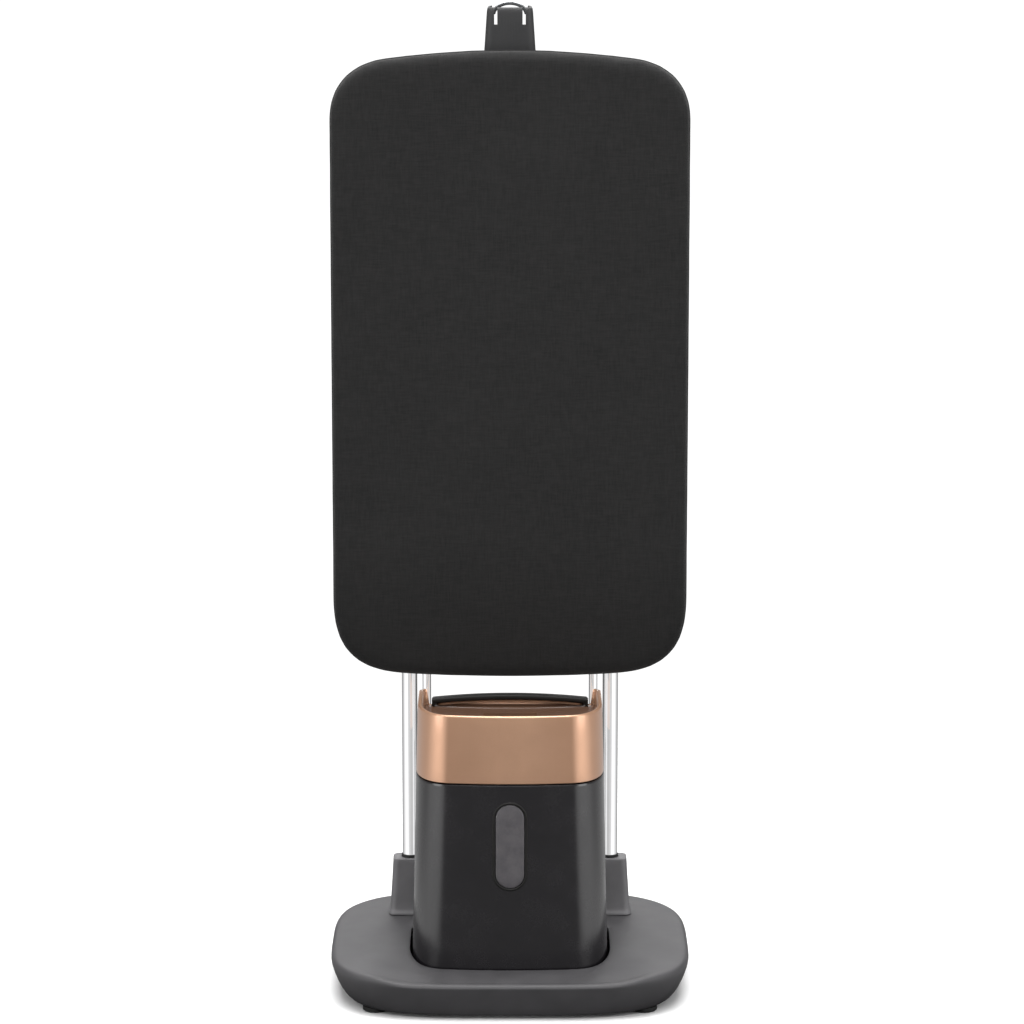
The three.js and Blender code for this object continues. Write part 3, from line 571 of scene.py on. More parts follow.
# ---- base
def add_base_cover():
    floor, top = BASE_LOW.z, BASE_HIGH.z
    well = body_plan(top, -0.003, RAYS)

    def sink(points):
        """How far the top dips in front of the generator."""
        x, y = np.abs(points[:, 0]), -points[:, 1]
        return DIP * (1 - smoothstep(x, 0.112, 0.17)) * smoothstep(y, 0.055, 0.112)

    def low_rim(inset, z):
        return level(base_plan(inset, 0.375), z)

    def rim(inset, z, share=1.0):
        points = base_plan(inset)
        return level(points, z - share * np.maximum(sink(points) - 0.0015, 0))

    def top_ring(share):
        points = base_plan(0.0105) * (1 - share) + well * share
        swell = 0.0012 * math.sin(math.pi * share)
        return level(points, top - 0.0012 * (1 - share) - 0.0012 + swell - sink(points))

    foot = ((0.02, floor + 0.001), (0.019, floor), (0.0175, floor), (0.016, floor + 0.0007))
    side = ((0.0142, 0.0072), (0.0115, 0.0105), (0.0086, 0.015), (0.0054, 0.0215), (0.0026, 0.0285),
            (0.0007, 0.0345))
    shoulder = ((0.0008, 0.0426), (0.0019, 0.044), (0.0036, 0.0449), (0.0062, 0.0455))
    rings = [low_rim(inset, z) for inset, z in foot + side]
    rings += [rim(0, 0.0385, 0.5), rim(0.0002, 0.0408, 0.8)]
    rings += [rim(inset, z) for inset, z in shoulder]
    rings += [top_ring(s) for s in (0, 0.08, 0.2, 0.35, 0.5, 0.65, 0.8, 0.92)]
    dipped = top - sink(well)
    lip = [(0.0012, 0.0006), (0.0004, 0.0009), (0, 0.0018), (0, 0.0045)]
    rings += [level(body_plan(top, -0.003 - out, RAYS), dipped - 0.0008 - down) for out, down in lip]
    rings += [level(body_plan(top, -0.006, RAYS), dipped - 0.0053), rim(0.016, 0.0405),
              rim(0.006, 0.034), low_rim(0.0095, 0.024), low_rim(0.0135, 0.015), low_rim(0.0185, 0.0098)]
    cover = shell("base_cover_fine", rings, loop=True)
    (x, y, _), _, _, _ = upright("power_button")
    cut(cover, turned("hole", [(0.0135, -0.02), (0.0135, 0.03)], (x, y, top), sides=64))
    place(cover, "stand", "grey_plastic", "base_cover", angle=40)


def add_button():
    (x, y, _), _, _, high = upright("power_button")
    profile = [(0.0134, -0.001), (0.0134, 0.0009), (0.0142, 0.0014), (0.016, 0.001), (0.0164, 0)]
    ring = turned("button_ring", profile, (x, y, BASE_HIGH.z - 0.0004), loop=True)
    place(ring, "stand", "chrome")
    profile = [(0, 0), (0.004, 0.0001), (0.009, 0.0007), (0.0112, 0.0014), (0.0124, 0.001),
               (0.013, -0.0004), (0.013, -0.015), (0, -0.015)]
    press = turned("power_button_fine", profile, (x, y, high - 0.0014))
    place(press, "button", "grey_plastic", "power_button")


def add_foot(node):
    at, radius, _, high = upright(node)
    tread = [(0, 0.0008), (0.005, 0.0008), (0.0058, 0), (0.0078, 0), (0.0086, 0.0008), (0.0104, 0.0008),
             (0.0112, 0), (radius - 0.0012, 0), (radius, 0.0012), (radius, high - 0.0006),
             (radius - 0.0006, high), (0, high)]
    place(turned(node + "_fine", tread, at), "stand", "rubber", node)


# ---- poles and their sockets
def add_tube(node, wall, edge=0.0005):
    at, radius, low, high = upright(node)
    profile = [(radius - wall, low), (radius - edge, low), (radius, low + edge), (radius, high - edge),
               (radius - edge, high), (radius - wall, high)]
    place(turned(node + "_fine", profile, at, sides=96, loop=True), BODY_OF[node], "chrome", node)


def add_rod(side, edge=0.001):
    node = "stay_rod_" + side
    at, radius, low, high = upright(node)
    profile = [(0, low), (radius - edge, low), (radius, low + edge), (radius, high - edge),
               (radius - edge, high), (0, high)]
    place(turned(node + "_fine", profile, at, sides=72), "stand", "chrome", node)
    steps = ((0.0002, 0), (0.0032, 0), (0.003, 0.002), (0.0016, 0.0045), (0.0004, 0.0075), (0.0002, 0.0075))
    ferrule = [(radius + out, low + up) for out, up in steps]
    place(turned("rod_ferrule_" + side, ferrule, at, loop=True), "stand", "rubber")


def add_socket(side):
    node = "pole_socket_" + side
    _, _, low, high = upright(node)
    at, _, pole_foot, _ = upright("lower_pole_" + side)
    axis, count = at[:2], 128
    sign = -1 if side == "left" else 1

    def ring(half_x, half_y, z, corner=0.007, toward=0.0):
        dense = soft_rectangle(axis[0] + sign * (0.0049 - toward), axis[1], half_x, half_y, corner, 720)
        return level(along_rays(dense, axis, count), z)

    def bore(radius, z):
        return level(circle(radius, count) * (-1, -1) + axis, z)

    rings = [bore(0.0092, pole_foot - 0.0001), ring(0.0185, 0.0195, low),
             ring(0.0199, 0.021, low, 0.008), ring(0.0199, 0.021, low + 0.0014, 0.008),
             ring(0.0196, 0.0203, low + 0.0026, 0.008), ring(0.0188, 0.0189, low + 0.0042),
             ring(0.0184, 0.018, low + 0.007)]
    for share in (0.25, 0.5, 0.75, 0.9):
        z = low + (high - low) * share
        rings.append(ring(0.0186 - 0.0024 * share, 0.018 - 0.0035 * share, z, toward=0.0014 * share))
    for half, down in ((0.0163, 0.0016), (0.016, 0.0006), (0.0152, 0)):
        rings.append(ring(half, half - 0.0016, high - down, toward=0.0014))
    rings += [bore(0.0104, high), bore(0.0096, high - 0.0005), bore(0.0092, high - 0.0012)]
    socket = shell(node + "_fine", rings, loop=True)
    place(socket, "stand", "grey_plastic", node, angle=40, material=SOCKET_PLASTIC)
    steps = ((0.0092, -0.0004), (0.0101, 0.0002), (0.0101, 0.0024), (0.0096, 0.0032), (0.0092, 0.0032))
    collar = [(radius, high + up) for radius, up in steps]
    place(turned("pole_collar_" + side, collar, at, loop=True), "stand", "rubber")


# ---- steam generator
def on_front(x, z, out=0.0):
    """The depth of the generator's front skin at a place, moved out by a distance."""
    outline = body_plan(z)
    front = outline[(outline[:, 1] < -0.09)]
    order = np.argsort(front[:, 0])
    return np.interp(x, front[order, 0], front[order, 1]) - out


def add_housing():
    low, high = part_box("generator_housing")
    count = 320
    heights = np.linspace(low.z + 0.004, high.z - 0.003, 24)
    rings = [level(body_plan(low.z, 0.003, count), low.z), level(body_plan(low.z, 0.001, count), low.z)]
    rings += [level(body_plan(z, 0, count), z) for z in (low.z + 0.001, *heights, high.z - 0.0012)]
    for inset, down in ((0.0004, 0.0003), (0.0011, 0), (0.003, 0)):
        rings.append(level(body_plan(high.z, inset, count), high.z - down))
    rings += [level(body_plan(z, 0.003, count), z) for z in heights[::-1]]
    housing = shell("generator_housing_fine", rings, loop=True)
    _, half, low, high = upright("water_window")
    gap = WINDOW_GAP
    outline = stadium(half + gap, low - gap, high + gap)
    tool = shell("tool", [[(x, y, z) for x, z in outline] for y in (-0.14, -0.07)])
    cut(housing, tool, box("tool_back", (-0.076, 0.01, 0.044), (0.076, 0.04, 0.23)))
    place(housing, "stand", "black_plastic", "generator_housing", angle=30)


def add_window():
    _, half, low, high = upright("water_window")

    def rings(section, gap):
        """Rings that follow the front from (growth, distance out) pairs."""
        made = []
        for grow, out in section:
            outline = stadium(half + gap + grow, low - grow, high + grow)
            made.append([(x, on_front(x, z, out), z) for x, z in outline])
        return made

    section = ((0, -0.003), (0, -0.0006), (-0.0005, 0), (-0.0016, 0.0004), (-0.005, 0.0008), (-0.011, 0.001))
    place(shell("water_window_fine", rings(section, 0)), "stand", "smoke_clear", "water_window", angle=60)
    section = ((0.0003, -0.002), (0.0004, 0.0006), (0.001, 0.0011), (0.0022, 0.0011), (0.003, 0.0004),
               (0.0031, -0.0004))
    rim = shell("window_rim", rings(section, WINDOW_GAP), loop=True)
    place(rim, "stand", "black_plastic", angle=60, material=MATT_BLACK)


def add_back_plate():
    refined("housing_back", 0.0007)
    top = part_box("housing_back")[1].z
    plate = BODY_BACK + 0.004
    for row in range(6):
        z = top - 0.016 - row * 0.007
        slot_path = [(x, plate + 0.0002, z) for x in np.linspace(-0.034, 0.034, 12)]
        place(swept(f"vent_rib_{row + 1}", slot_path, circle(0.0013, 12)), "stand", "black_plastic")
    for i, (x, z) in enumerate(((-0.074, 0.228), (0.074, 0.228), (-0.074, 0.064), (0.074, 0.064))):
        add_screw(f"back_screw_{i + 1}", (x, plate, z), 0.0034)


def add_outlet():
    low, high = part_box("steam_outlet")
    x, _, z = middle("steam_outlet")
    threads = [(0.0082 + 0.0008 * (k % 2), 0.0368 + 0.0009 * k) for k in range(9)]
    profile = [(0.004, high.y), (0.004, 0.03), (0, 0.03), (0, low.y), (0.009, low.y), (0.009, 0.0275),
               (0.0088, 0.0314), (0.012, 0.0316), (0.012, 0.035), (0.0112, 0.0362), (0.009, 0.0364),
               *threads, (0.0078, high.y)]
    outlet = turned("steam_outlet_fine", profile, (x, 0, z), "y", 72, loop=True)
    place(outlet, "stand", "brass", "steam_outlet", angle=28)


def add_descale_cap():
    low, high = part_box("descale_cap")
    x, _, z = middle("descale_cap")
    sides, radius = 144, 0.017
    angles = np.arange(sides) * 2 * math.pi / sides
    knurl = radius - 0.0007 * (np.cos(angles * 24) < 0)
    stem = ((0.68, 0.0125), (0.706, 0.0135), (0.706, 0.0312))
    head = ((0.93, 0.0314), (1, 0.0322), (1, 0.0408), (0.96, 0.0424), (0.86, 0.043), (0.8, 0.0424),
            (0.3, 0.042))
    rings = []
    for reach, section in ((radius, stem), (knurl, head)):
        for share, y in section:
            rings.append(np.stack([reach * share * np.cos(angles), np.full(sides, y),
                                   reach * share * np.sin(angles)], 1))
    cap = shell("descale_cap_fine", np.array(rings) + (x, 0, z))
    place(cap, "descale_plug", "grey_plastic", "descale_cap")
    grip = box("descale_grip", (low.x + 0.004, 0.0415, z - 0.003), (high.x - 0.004, high.y, z + 0.003))
    bevel(grip, 0.0012, 3)
    place(grip, "descale_plug", "grey_plastic")


def add_screw(name, at, radius, body="stand", slot="steel"):
    """A cross-head screw whose head faces back."""
    profile = [(0, 0), (radius, 0), (radius, 0.0008), (radius * 0.8, 0.0018), (radius * 0.4, 0.0022),
               (0, 0.0023)]
    head = turned(name, profile, at, "y", 40)
    arm = radius * 0.62
    x, y, z = at
    cut(head, box("tool_a", (x - arm, y + 0.0009, z - 0.0004), (x + arm, y + 0.004, z + 0.0004)),
        box("tool_b", (x - 0.0004, y + 0.0009, z - arm), (x + 0.0004, y + 0.004, z + arm)))
    return place(head, body, slot)


FLAP_GAP = 0.0003


def add_tank_cap():
    low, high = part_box("tank_cap")
    count = 400
    hub = (0, -0.062)
    neck = 0.013
    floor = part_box("filler_flap")[0].z - FLAP_GAP
    bottom = low.z

    def plan(z, inset):
        return along_rays(body_plan(z, inset), hub, count)

    rim_plan = plan(high.z, 0)
    x, y = np.abs(rim_plan[:, 0]), rim_plan[:, 1]
    back = smoothstep(y, 0.01, 0.0262)
    arch = floor + 0.003 + 0.004 * (1 - np.clip(x / 0.086, 0, 1) ** 2)
    notch = smoothstep(x, 0.0855, 0.088) * (1 - smoothstep(x, 0.0965, 0.0985))
    rear = arch * (1 - notch) + (floor + 0.0006) * notch
    wall = smoothstep(x, 0.0965, 0.0985)
    rear = rear * (1 - wall) + high.z * wall
    rim = high.z * (1 - back) + np.minimum(rear, high.z) * back
    corner = smoothstep(y, 0.004, 0.027) * smoothstep(x, 0.096, 0.1)
    rim = rim - 0.002 * corner ** 2

    def rim_ring(inset, down, least=0.0):
        return level(plan(high.z, inset), np.maximum(rim - down, least))

    edge = ((0.003, 0), (0.0016, 0), (0.0006, 0.0003), (0.0001, 0.0009))
    rings = [level(plan(bottom, inset), bottom + up) for inset, up in edge]
    rings += [level(plan(z, 0), z) for z in np.linspace(bottom + 0.0016, floor - 0.003, 5)]
    rings += [rim_ring(0, 0.0024), rim_ring(0.0002, 0.0013), rim_ring(0.0007, 0.0005), rim_ring(0.0016, 0),
              rim_ring(0.0038, 0), rim_ring(0.0047, 0.0004), rim_ring(0.0053, 0.0013, floor + 0.0004),
              rim_ring(0.0055, 0.0028, floor + 0.0003)]
    rings += [level(plan(high.z, inset), np.minimum(floor + up, np.maximum(rim - 0.003, floor + 0.0002)))
              for inset, up in ((0.0056, 0.003), (0.0062, 0.0014), (0.0074, 0.0004))]
    rings.append(level(plan(high.z, 0.0095), floor))
    direction = plan(high.z, 0.0095) - hub
    direction /= np.hypot(*direction.T)[:, None]
    rings += [level(hub + direction * reach, floor) for reach in (0.03, 0.0145)]
    under = floor - 0.004
    rings += [level(hub + direction * (neck + 0.0002), floor - 0.0008),
              level(hub + direction * (neck + 0.0001), under), level(hub + direction * 0.03, under),
              level(plan(floor, 0.0034), under), level(plan(0.27, 0.0031), 0.27)]
    place(shell("tank_cap_fine", rings, loop=True), "tank", "copper_paint", "tank_cap", angle=45)


def add_handle():
    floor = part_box("filler_flap")[0].z - FLAP_GAP
    low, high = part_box("tank_handle")
    y = middle("tank_handle")[1]
    path = []
    half = high.x - 0.0028
    for x in np.linspace(-half, half, 61):
        share = (x / half) ** 2
        path.append((x, y, floor + 0.0112 - 0.0045 * share))
    section = soft_rectangle(0, 0, 0.003, 0.0066, 0.0022, 40)
    bar = swept("tank_handle_fine", path, section)
    for sign in (-1, 1):
        end = sign * half
        leg = box("leg", (end - 0.0018, y - 0.0062, low.z), (end + 0.0018, y + 0.0062, floor + 0.0086))
        bevel(leg, 0.001, 2)
        modify(bar, "BOOLEAN", operation="UNION", solver="EXACT", object=leg)
        apply_modifiers(bar)
        bpy.data.objects.remove(leg)
    place(bar, "tank", "black_plastic", "tank_handle", angle=45, material=MATT_BLACK)


# ---- mains cord
def add_cord():
    """Three turns of cord round the hooks, from its grip, and the plug at the last turn's end."""
    low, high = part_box("cord_grip")
    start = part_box("power_plug")[0].x
    _, start_y, start_z = middle("cord_grip")
    _, end_y, end_z = middle("power_plug")
    half_width, half_height = 0.046, 0.082
    turns, points = 3, []
    for i in range(turns * 16 + 1):
        angle = 2 * math.pi * i / 16 - math.pi / 2
        wander = 0.0008 * math.sin(i * 2.1)
        y = start_y + 0.005 * i / 16 + wander
        z = start_z + half_height + half_height * math.sin(angle)
        points.append((half_width * math.cos(angle), y, z))
    points += [(0.024, end_y - 0.001, end_z - 0.003), (start + 0.001, end_y, end_z)]
    curve = bpy.data.curves.new("power_cord_fine", "CURVE")
    curve.dimensions = "3D"
    spline = curve.splines.new("NURBS")
    spline.points.add(len(points) - 1)
    for point, co in zip(spline.points, points):
        point.co = (*co, 1)
    spline.order_u = 4
    spline.use_endpoint_u = True
    spline.resolution_u = 6
    curve.bevel_depth = 0.0021
    curve.bevel_resolution = 5
    curve.use_fill_caps = True
    cord = bpy.data.objects.new("power_cord_fine", curve)
    bpy.context.scene.collection.objects.link(cord)
    place(cord, "stand", "rubber", "power_cord", material=BRAID)

    ribs = [(0.0036 + 0.0012 * (k % 2) * (1 - k / 22), 0.001 * k) for k in range(17)]
    length = high.x - low.x
    profile = [(r, h * length / 0.018) for r, h in ((0, 0), *ribs, (0, 0.018))]
    grip = turned("cord_grip_fine", profile, (low.x, start_y, start_z), "x", 40)
    place(grip, "stand", "rubber", "cord_grip")
    body = [(0, 0), (0.0035, 0), (0.0042, 0.004), (0.004, 0.006), (0.0052, 0.008), (0.005, 0.01),
            (0.0066, 0.013), (0.0086, 0.017), (0.009, 0.021), (0.0086, 0.0235), (0.009, 0.026),
            (0.009, 0.0305), (0.0082, 0.032), (0, 0.032)]
    place(turned("power_plug_fine", body, (start, end_y, end_z), "x", 56), "stand", "rubber", "power_plug")
    for i, sign in enumerate((-1, 1)):
        pin = [(0, 0), (0.002, 0), (0.002, 0.0155), (0.0014, 0.0175), (0, 0.018)]
        at = (start + 0.031, end_y + sign * 0.0045, end_z)
        place(turned(f"plug_pin_{i + 1}", pin, at, "x", 32), "stand", "brass")


# ---- padded board
HEM_INSET = 0.017
SEAM_DEPTH = 0.0115


def slab_rings(half, low, high, profile):
    """Rings round the board from (inset, depth) pairs, from back to front."""
    return [[(x, y, z) for x, z in board_face(inset, half, low, high)] for inset, y in profile]


def add_board():
    low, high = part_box("board_cover")
    front, back = low.y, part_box("board_panel")[1].y
    half = high.x
    hem_y = back + 0.0012
    profile = [(0.03, hem_y), (0.006, hem_y), (0.0034, hem_y - 0.0006), (0.002, hem_y - 0.0022),
               (0.0014, hem_y - 0.005), (0.0014, front + 0.01), (0.002, front + 0.006),
               (0.0042, front + 0.0028), (0.008, front + 0.0012), (0.016, front + 0.0006),
               (0.03, front + 0.0005)]
    cover = shell("board_cover_cloth", slab_rings(half, low.z, high.z, profile))
    modify(cover, "REMESH", mode="VOXEL", voxel_size=0.0055)
    apply_modifiers(cover)
    rest = np.array([v.co for v in cover.data.vertices])
    rest = relax_cover(cover, rest, hem_y)
    hem_line = board_face(HEM_INSET, half, low.z, high.z)
    gather_hem(cover, rest, hem_line, hem_y)

    def open_back(bm):
        gone = [f for f in bm.faces if f.normal.y > 0.8 and f.calc_center_median().y > hem_y - 0.003
                and inside(hem_line, f.calc_center_median())]
        bmesh.ops.delete(bm, geom=gone, context="FACES")

    edit(cover, open_back)
    modify(cover, "SOLIDIFY", thickness=0.001, offset=-1)
    modify(cover, "SUBSURF", levels=1, render_levels=1)
    apply_modifiers(cover)
    place(cover, "board", "cover_fabric", "board_cover", angle=80)

    skin = BVHTree.FromObject(cover, bpy.context.evaluated_depsgraph_get())

    def on_cloth(inset, y, out):
        """A line round the board laid on the cloth, and the cloth's normals along it."""
        points, normals = [], []
        for x, z in even(board_face(inset, half, low.z, high.z), 0.0045):
            at, normal, _, _ = skin.find_nearest(Vector((x, y, z)))
            points.append(np.array(at + normal * out))
            normals.append(np.array(normal))
        return np.array(points), np.array(normals)

    for name, inset, y, out, section in (
            ("cover_hem", HEM_INSET, hem_y + 0.002, 0.0006, circle(0.0021, 12)),
            ("cover_seam", 0, front + SEAM_DEPTH, 0.0001, circle(0.0008, 10))):
        points, _ = on_cloth(inset, y, out)
        place(swept(name, points, section, closed=True), "board", "cover_fabric", angle=80)
    for name, inset, y in (("seam_stitches", 0, front + SEAM_DEPTH + 0.0032),
                           ("hem_stitches", HEM_INSET - 0.005, hem_y + 0.002)):
        points, normals = on_cloth(inset, y, 0.0001)
        place(stitches(name, points, normals), "board", "cover_fabric", angle=80, material=THREAD)
    profile = [(0, 0), (0.005, 0), (0.0062, 0.0012), (0.0062, 0.0058), (0.005, 0.007), (0, 0.007)]
    toggle = turned("hem_toggle", profile, (0.03, hem_y + 0.0005, low.z + 0.034), "y", 40)
    place(toggle, "board", "black_plastic")

    pad_low, pad_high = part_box("board_pad")
    depth = pad_high.y - pad_low.y
    profile = [(0.009, pad_high.y), (0.0062, pad_high.y - 0.0008), (0.0055, pad_high.y - 0.003),
               (0.007, pad_low.y + depth * 0.4), (0.011, pad_low.y + 0.0012), (0.024, pad_low.y + 0.0008)]
    pad = shell("board_pad_felt", slab_rings(half - 0.0005, low.z, high.z, profile))
    place(pad, "board", "pad_felt", "board_pad", angle=80)


def even(outline, pitch):
    """The outline's points spread at an even pitch."""
    closed = np.concatenate([outline, outline[:1]])
    steps = np.concatenate([[0], np.cumsum(np.hypot(*np.diff(closed, axis=0).T))])
    at = np.linspace(0, steps[-1], round(steps[-1] / pitch), endpoint=False)
    return np.stack([np.interp(at, steps, closed[:, k]) for k in (0, 1)], 1)


def stitches(name, points, normals, radius=0.00035):
    """One short raised thread between every two points of a line."""
    corners, faces = [], []
    for a, b, normal in zip(points, np.roll(points, -1, 0), normals):
        ahead = b - a
        across = np.cross(ahead / np.linalg.norm(ahead), normal)
        start = len(corners)
        for share, swell in ((0.12, 0.3), (0.25, 1), (0.6, 1), (0.73, 0.3)):
            for turn in range(6):
                angle = turn * math.pi / 3
                out = across * math.cos(angle) + normal * math.sin(angle)
                corners.append(a + ahead * share + radius * swell * out)
        for ring in range(3):
            low = start + ring * 6
            faces += [(low + k, low + (k + 1) % 6, low + 6 + (k + 1) % 6, low + 6 + k) for k in range(6)]
        faces += [tuple(range(start, start + 6)), tuple(range(start + 18, start + 24))]
    return mesh_object(name, corners, faces)


def inside(outline, point):
    x, z = outline[:, 0], outline[:, 1]
    nx, nz = np.roll(x, -1), np.roll(z, -1)
    crosses = (z > point.z) != (nz > point.z)
    reach = x + (point.z - z) * (nx - x) / np.where(nz == z, 1e-9, nz - z)
    return bool(np.count_nonzero(crosses & (point.x < reach)) % 2)


def gather_hem(cover, rest, outline, hem_y):
    """Puckers the cloth where the drawstring gathers it on the board's back."""
    steps = np.concatenate([[0], np.cumsum(np.hypot(*np.diff(outline, axis=0).T))])
    back = np.flatnonzero(rest[:, 1] > hem_y - 0.0045)
    offset = rest[back][:, None, (0, 2)] - outline[None]
    distance = np.hypot(offset[..., 0], offset[..., 1])
    nearest = distance.argmin(1)
    fade = 1 - smoothstep(distance.min(1), 0.001, 0.015)
    along = steps[nearest]
    pucker = 0.0011 * np.sin(along / 0.0058) + 0.0007 * np.sin(along / 0.0141 + 1.3) + 0.0009
    for index, lift in zip(back, pucker * fade):
        cover.data.vertices[int(index)].co.y += lift


def relax_cover(cover, rest, hem_y):
    """Lets air pressure fill the cover while the hem and, more loosely, the face stay in place."""
    group = cover.vertex_groups.new(name="hold")
    for i, y in enumerate(rest[:, 1]):
        group.add([i], 1.0 if y > hem_y - 0.004 else 0.35, "REPLACE")
    cloth = cover.modifiers.new("cloth", "CLOTH")
    settings = cloth.settings
    settings.vertex_group_mass = "hold"
    settings.pin_stiffness = 0.6
    settings.use_pressure = True
    settings.uniform_pressure_force = 4
    settings.shrink_min = -0.012
    settings.quality = 6
    settings.effector_weights.gravity = 0
    scene = bpy.context.scene
    for step in range(1, 21):
        scene.frame_set(step)
    graph = bpy.context.evaluated_depsgraph_get()
    moved = np.array([v.co for v in cover.evaluated_get(graph).data.vertices])
    cover.modifiers.clear()
    scene.frame_set(1)
    shift = moved - rest
    edges = np.array([e.vertices[:] for e in cover.data.edges])
    share = np.bincount(edges.ravel(), minlength=len(rest))[:, None]
    for _ in range(14):
        total = np.zeros_like(shift)
        np.add.at(total, edges[:, 0], shift[edges[:, 1]])
        np.add.at(total, edges[:, 1], shift[edges[:, 0]])
        shift = 0.5 * shift + 0.5 * total / share
    length = np.linalg.norm(shift, axis=1, keepdims=True)
    most = 0.0022
    shift *= np.minimum(1, most / np.maximum(length, 1e-9))
    for vertex, co in zip(cover.data.vertices, rest + shift):
        vertex.co = co
    return rest + shift


def add_rest():
    low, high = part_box("iron_rest")
    y, depth = middle("iron_rest")[1], (high.y - low.y) / 2

    def ring(z, inset):
        share = (z - low.z) / (high.z - low.z)
        half = high.x + (0.0255 - high.x) * share
        corner = max(0.008 - inset / 2, 0.003)
        return level(soft_rectangle(0, y, half - inset, depth - inset, corner, 160), z)

    top = high.z
    rings = [ring(low.z, 0.004), ring(low.z, 0.001), ring(low.z + 0.001, 0)]
    rings += [ring(z, 0) for z in np.linspace(low.z + 0.01, top - 0.006, 10)]
    edge = ((0.003, 0.0003), (0.0012, 0.001), (0.0003, 0.0018), (0, 0.0027), (0.0008, 0.0037),
            (0.004, 0.004), (0.025, 0.0038), (0.0475, 0.0038), (0.05, 0.006))
    rings += [ring(top - down, inset) for down, inset in edge]
    holder = shell("iron_rest_fine", rings)
    tools = []
    for x in (-0.0158, 0.0158):
        tools.append(box("tool", (x - 0.0017, low.y - 0.002, top - 0.019),
                         (x + 0.0017, low.y + 0.01, top + 0.005)))
    tools.append(box("tool", (-0.02, high.y - 0.01, top - 0.046), (0.02, high.y + 0.005, top + 0.005)))
    tools.append(box("tool", (-0.024, low.y + 0.008, low.z - 0.001), (0.024, high.y + 0.005, top - 0.058)))
    cut(holder, *tools)
    place(holder, "board", "grey_plastic", "iron_rest", angle=38, material=MATERIAL["panel_plastic"])

    turn = np.linspace(-1.5, 1.5, 41)
    y = np.full(41, middle("rest_strap")[1])
    path = np.stack([0.0185 * np.sin(turn), y, top - 0.0105 + 0.0132 * np.cos(turn)], 1)
    strap = swept("rest_strap_fine", path, soft_rectangle(0, 0, 0.0022, 0.0016, 0.0012, 32))
    place(strap, "board", "steel", "rest_strap", angle=60)


# ---- the frame's own shapes, with rounded edges
def add_refined():
    singles = {
        0.0012: ("pole_bridge", "hinge_head"),
        0.001: ("tilt_lever", "steam_pump", "steam_valve"),
        0.0008: ("base_tray", "tank_shelf", "boiler", "ballast_plate", "water_tank"),
        0.0006: ("board_panel", "lever_mount", "pivot_shaft"),
        0.0005: ("tank_valve",),
    }
    pairs = {
        0.001: ("height_lock_lever",),
        0.0006: ("board_bracket", "latch_bolt"),
        0.0005: ("detent_disc",),
        0.0003: ("bracket_screw_upper", "bracket_screw_lower"),
    }
    for width, nodes in singles.items():
        for node in nodes:
            refined(node, width)
    for width, nodes in pairs.items():
        for node in nodes:
            for side in SIDES:
                refined(f"{node}_{side}", width)


# ---- studio
def floor_finish():
    """Pale to the eye, dark to the object and clear from below. It glows where it runs out to white,
    where glossy pieces mirror it like light boards, and softly under the base."""
    s = Shader("studio_floor")
    pale = s.mix(s.noise(3, 2), (0.93, 0.93, 0.93, 1), (0.96, 0.96, 0.96, 1))
    rays = s.add("LightPath").outputs
    seen, mirrored = rays["Is Camera Ray"], rays["Is Glossy Ray"]
    distance = s.add("VectorMath", {0: s.place}, operation="LENGTH").outputs["Value"]
    far = s.times(s.spread(distance, 0, 1, 0.5, 1.4), seen)
    x, y, _ = s.axes(s.place)
    aside = s.plus(s.maths("ABSOLUTE", x), s.times(y, 0.47))
    boards = s.times(s.spread(aside, 0, 1, 0.02, 0.22), s.spread(y, 1, 0.35, -0.15, 0.25))
    boards = s.times(s.times(boards, s.spread(distance, 0, 1, 0.24, 0.32)), mirrored)
    under = s.times(s.spread(distance, 0.3, 0, 0.13, 0.19), s.maths("SUBTRACT", 1, seen))
    bright = s.maths("MAXIMUM", s.maths("MAXIMUM", far, boards), under)
    glow = s.add("Emission", {"Color": (1, 1, 1, 1), "Strength": 1.1}).outputs[0]
    s.surface(Base_Color=s.mix(seen, (0.12, 0.12, 0.12, 1), pale), Roughness=0.95, Specular_IOR_Level=0.0)
    above = s.add("MixShader", {0: bright, 1: s.bsdf.outputs[0], 2: glow}).outputs[0]
    clear = s.add("BsdfTransparent").outputs[0]
    either = s.add("MixShader", {0: s.geometry("Backfacing"), 1: above, 2: clear}).outputs[0]
    s.put(s.tree.nodes["Material Output"].inputs["Surface"], either)
    return s.material


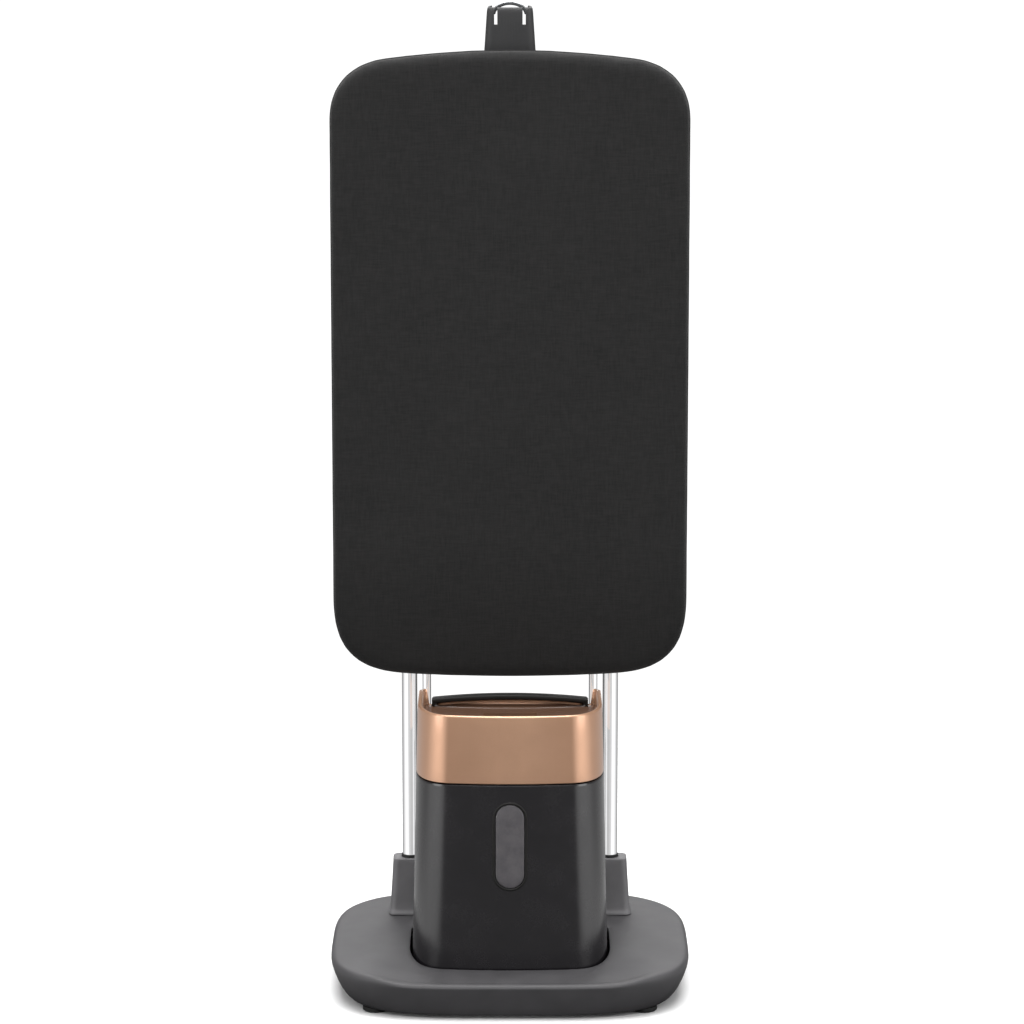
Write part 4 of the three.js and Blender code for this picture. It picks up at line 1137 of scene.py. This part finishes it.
def add_studio():
    scene = bpy.context.scene
    bpy.ops.mesh.primitive_plane_add(size=60, location=(0, 0, -0.0005))
    floor = bpy.context.object
    floor.name = "studio_floor"
    floor.data.materials.append(floor_finish())

    world = bpy.data.worlds.new("studio")
    scene.world = world
    world.use_nodes = True
    tree = world.node_tree
    background = tree.nodes["Background"]
    path = tree.nodes.new("ShaderNodeLightPath")
    strength = tree.nodes.new("ShaderNodeMapRange")
    strength.inputs["To Min"].default_value = 0.24
    strength.inputs["To Max"].default_value = 1.0
    background.inputs["Color"].default_value = (1, 1, 1, 1)
    tree.links.new(path.outputs["Is Camera Ray"], strength.inputs["Value"])
    tree.links.new(strength.outputs[0], background.inputs["Strength"])

    lamps = (("overhead", (0, 0.1, 3.3), (0, 0, 0.3), 2.6, 2.2, 160),
             ("left_panel", (-2.1, -1.3, 0.7), (0, 0, 0.3), 1.5, 2.8, 36),
             ("right_panel", (2.1, -1.3, 0.7), (0, 0, 0.3), 1.5, 2.8, 36),
             ("front", (0, -3.8, 3.6), (0, 0, 0.6), 2.4, 1.4, 50),
             ("behind", (0, 3, 2.4), (0, 0, 0.5), 2.4, 1.6, 48))
    for name, at, aim, width, height, power in lamps:
        data = bpy.data.lights.new(name, "AREA")
        data.shape = "RECTANGLE"
        data.size, data.size_y, data.energy = width, height, power
        obj = bpy.data.objects.new(name, data)
        scene.collection.objects.link(obj)
        obj.location = at
        obj.rotation_euler = (Vector(aim) - Vector(at)).to_track_quat("-Z", "Y").to_euler()

    data = bpy.data.cameras.new("camera")
    camera = bpy.data.objects.new("camera", data)
    scene.collection.objects.link(camera)
    data.lens = 140.1
    data.sensor_width = 36
    data.clip_end = 60
    data.shift_x = 0.002
    camera.location = (0, -4.4, 1.379)
    camera.rotation_euler = (math.radians(90 - 10.817), 0, 0)
    scene.camera = camera
    scene.view_settings.view_transform = "Standard"


add_base_cover()
add_button()
for side in SIDES:
    add_foot("foot_front_" + side)
    add_foot("foot_rear_" + side)
    add_tube("lower_pole_" + side, 0.0014)
    add_tube("upper_pole_" + side, 0.0015)
    add_rod(side)
    add_socket(side)
add_housing()
add_window()
add_back_plate()
add_outlet()
add_descale_cap()
add_tank_cap()
add_handle()
# The filler flap wears the painted recess shade.
refined("filler_flap", 0.0006, material=FLAP_SHADE)
add_cord()
add_board()
add_rest()
add_refined()
for name, node in frame["nodes"].items():
    if not node.hide_render:
        node.data.materials.clear()
        node.data.materials.append(MATERIAL[SLOT_OF[name]])
add_studio()
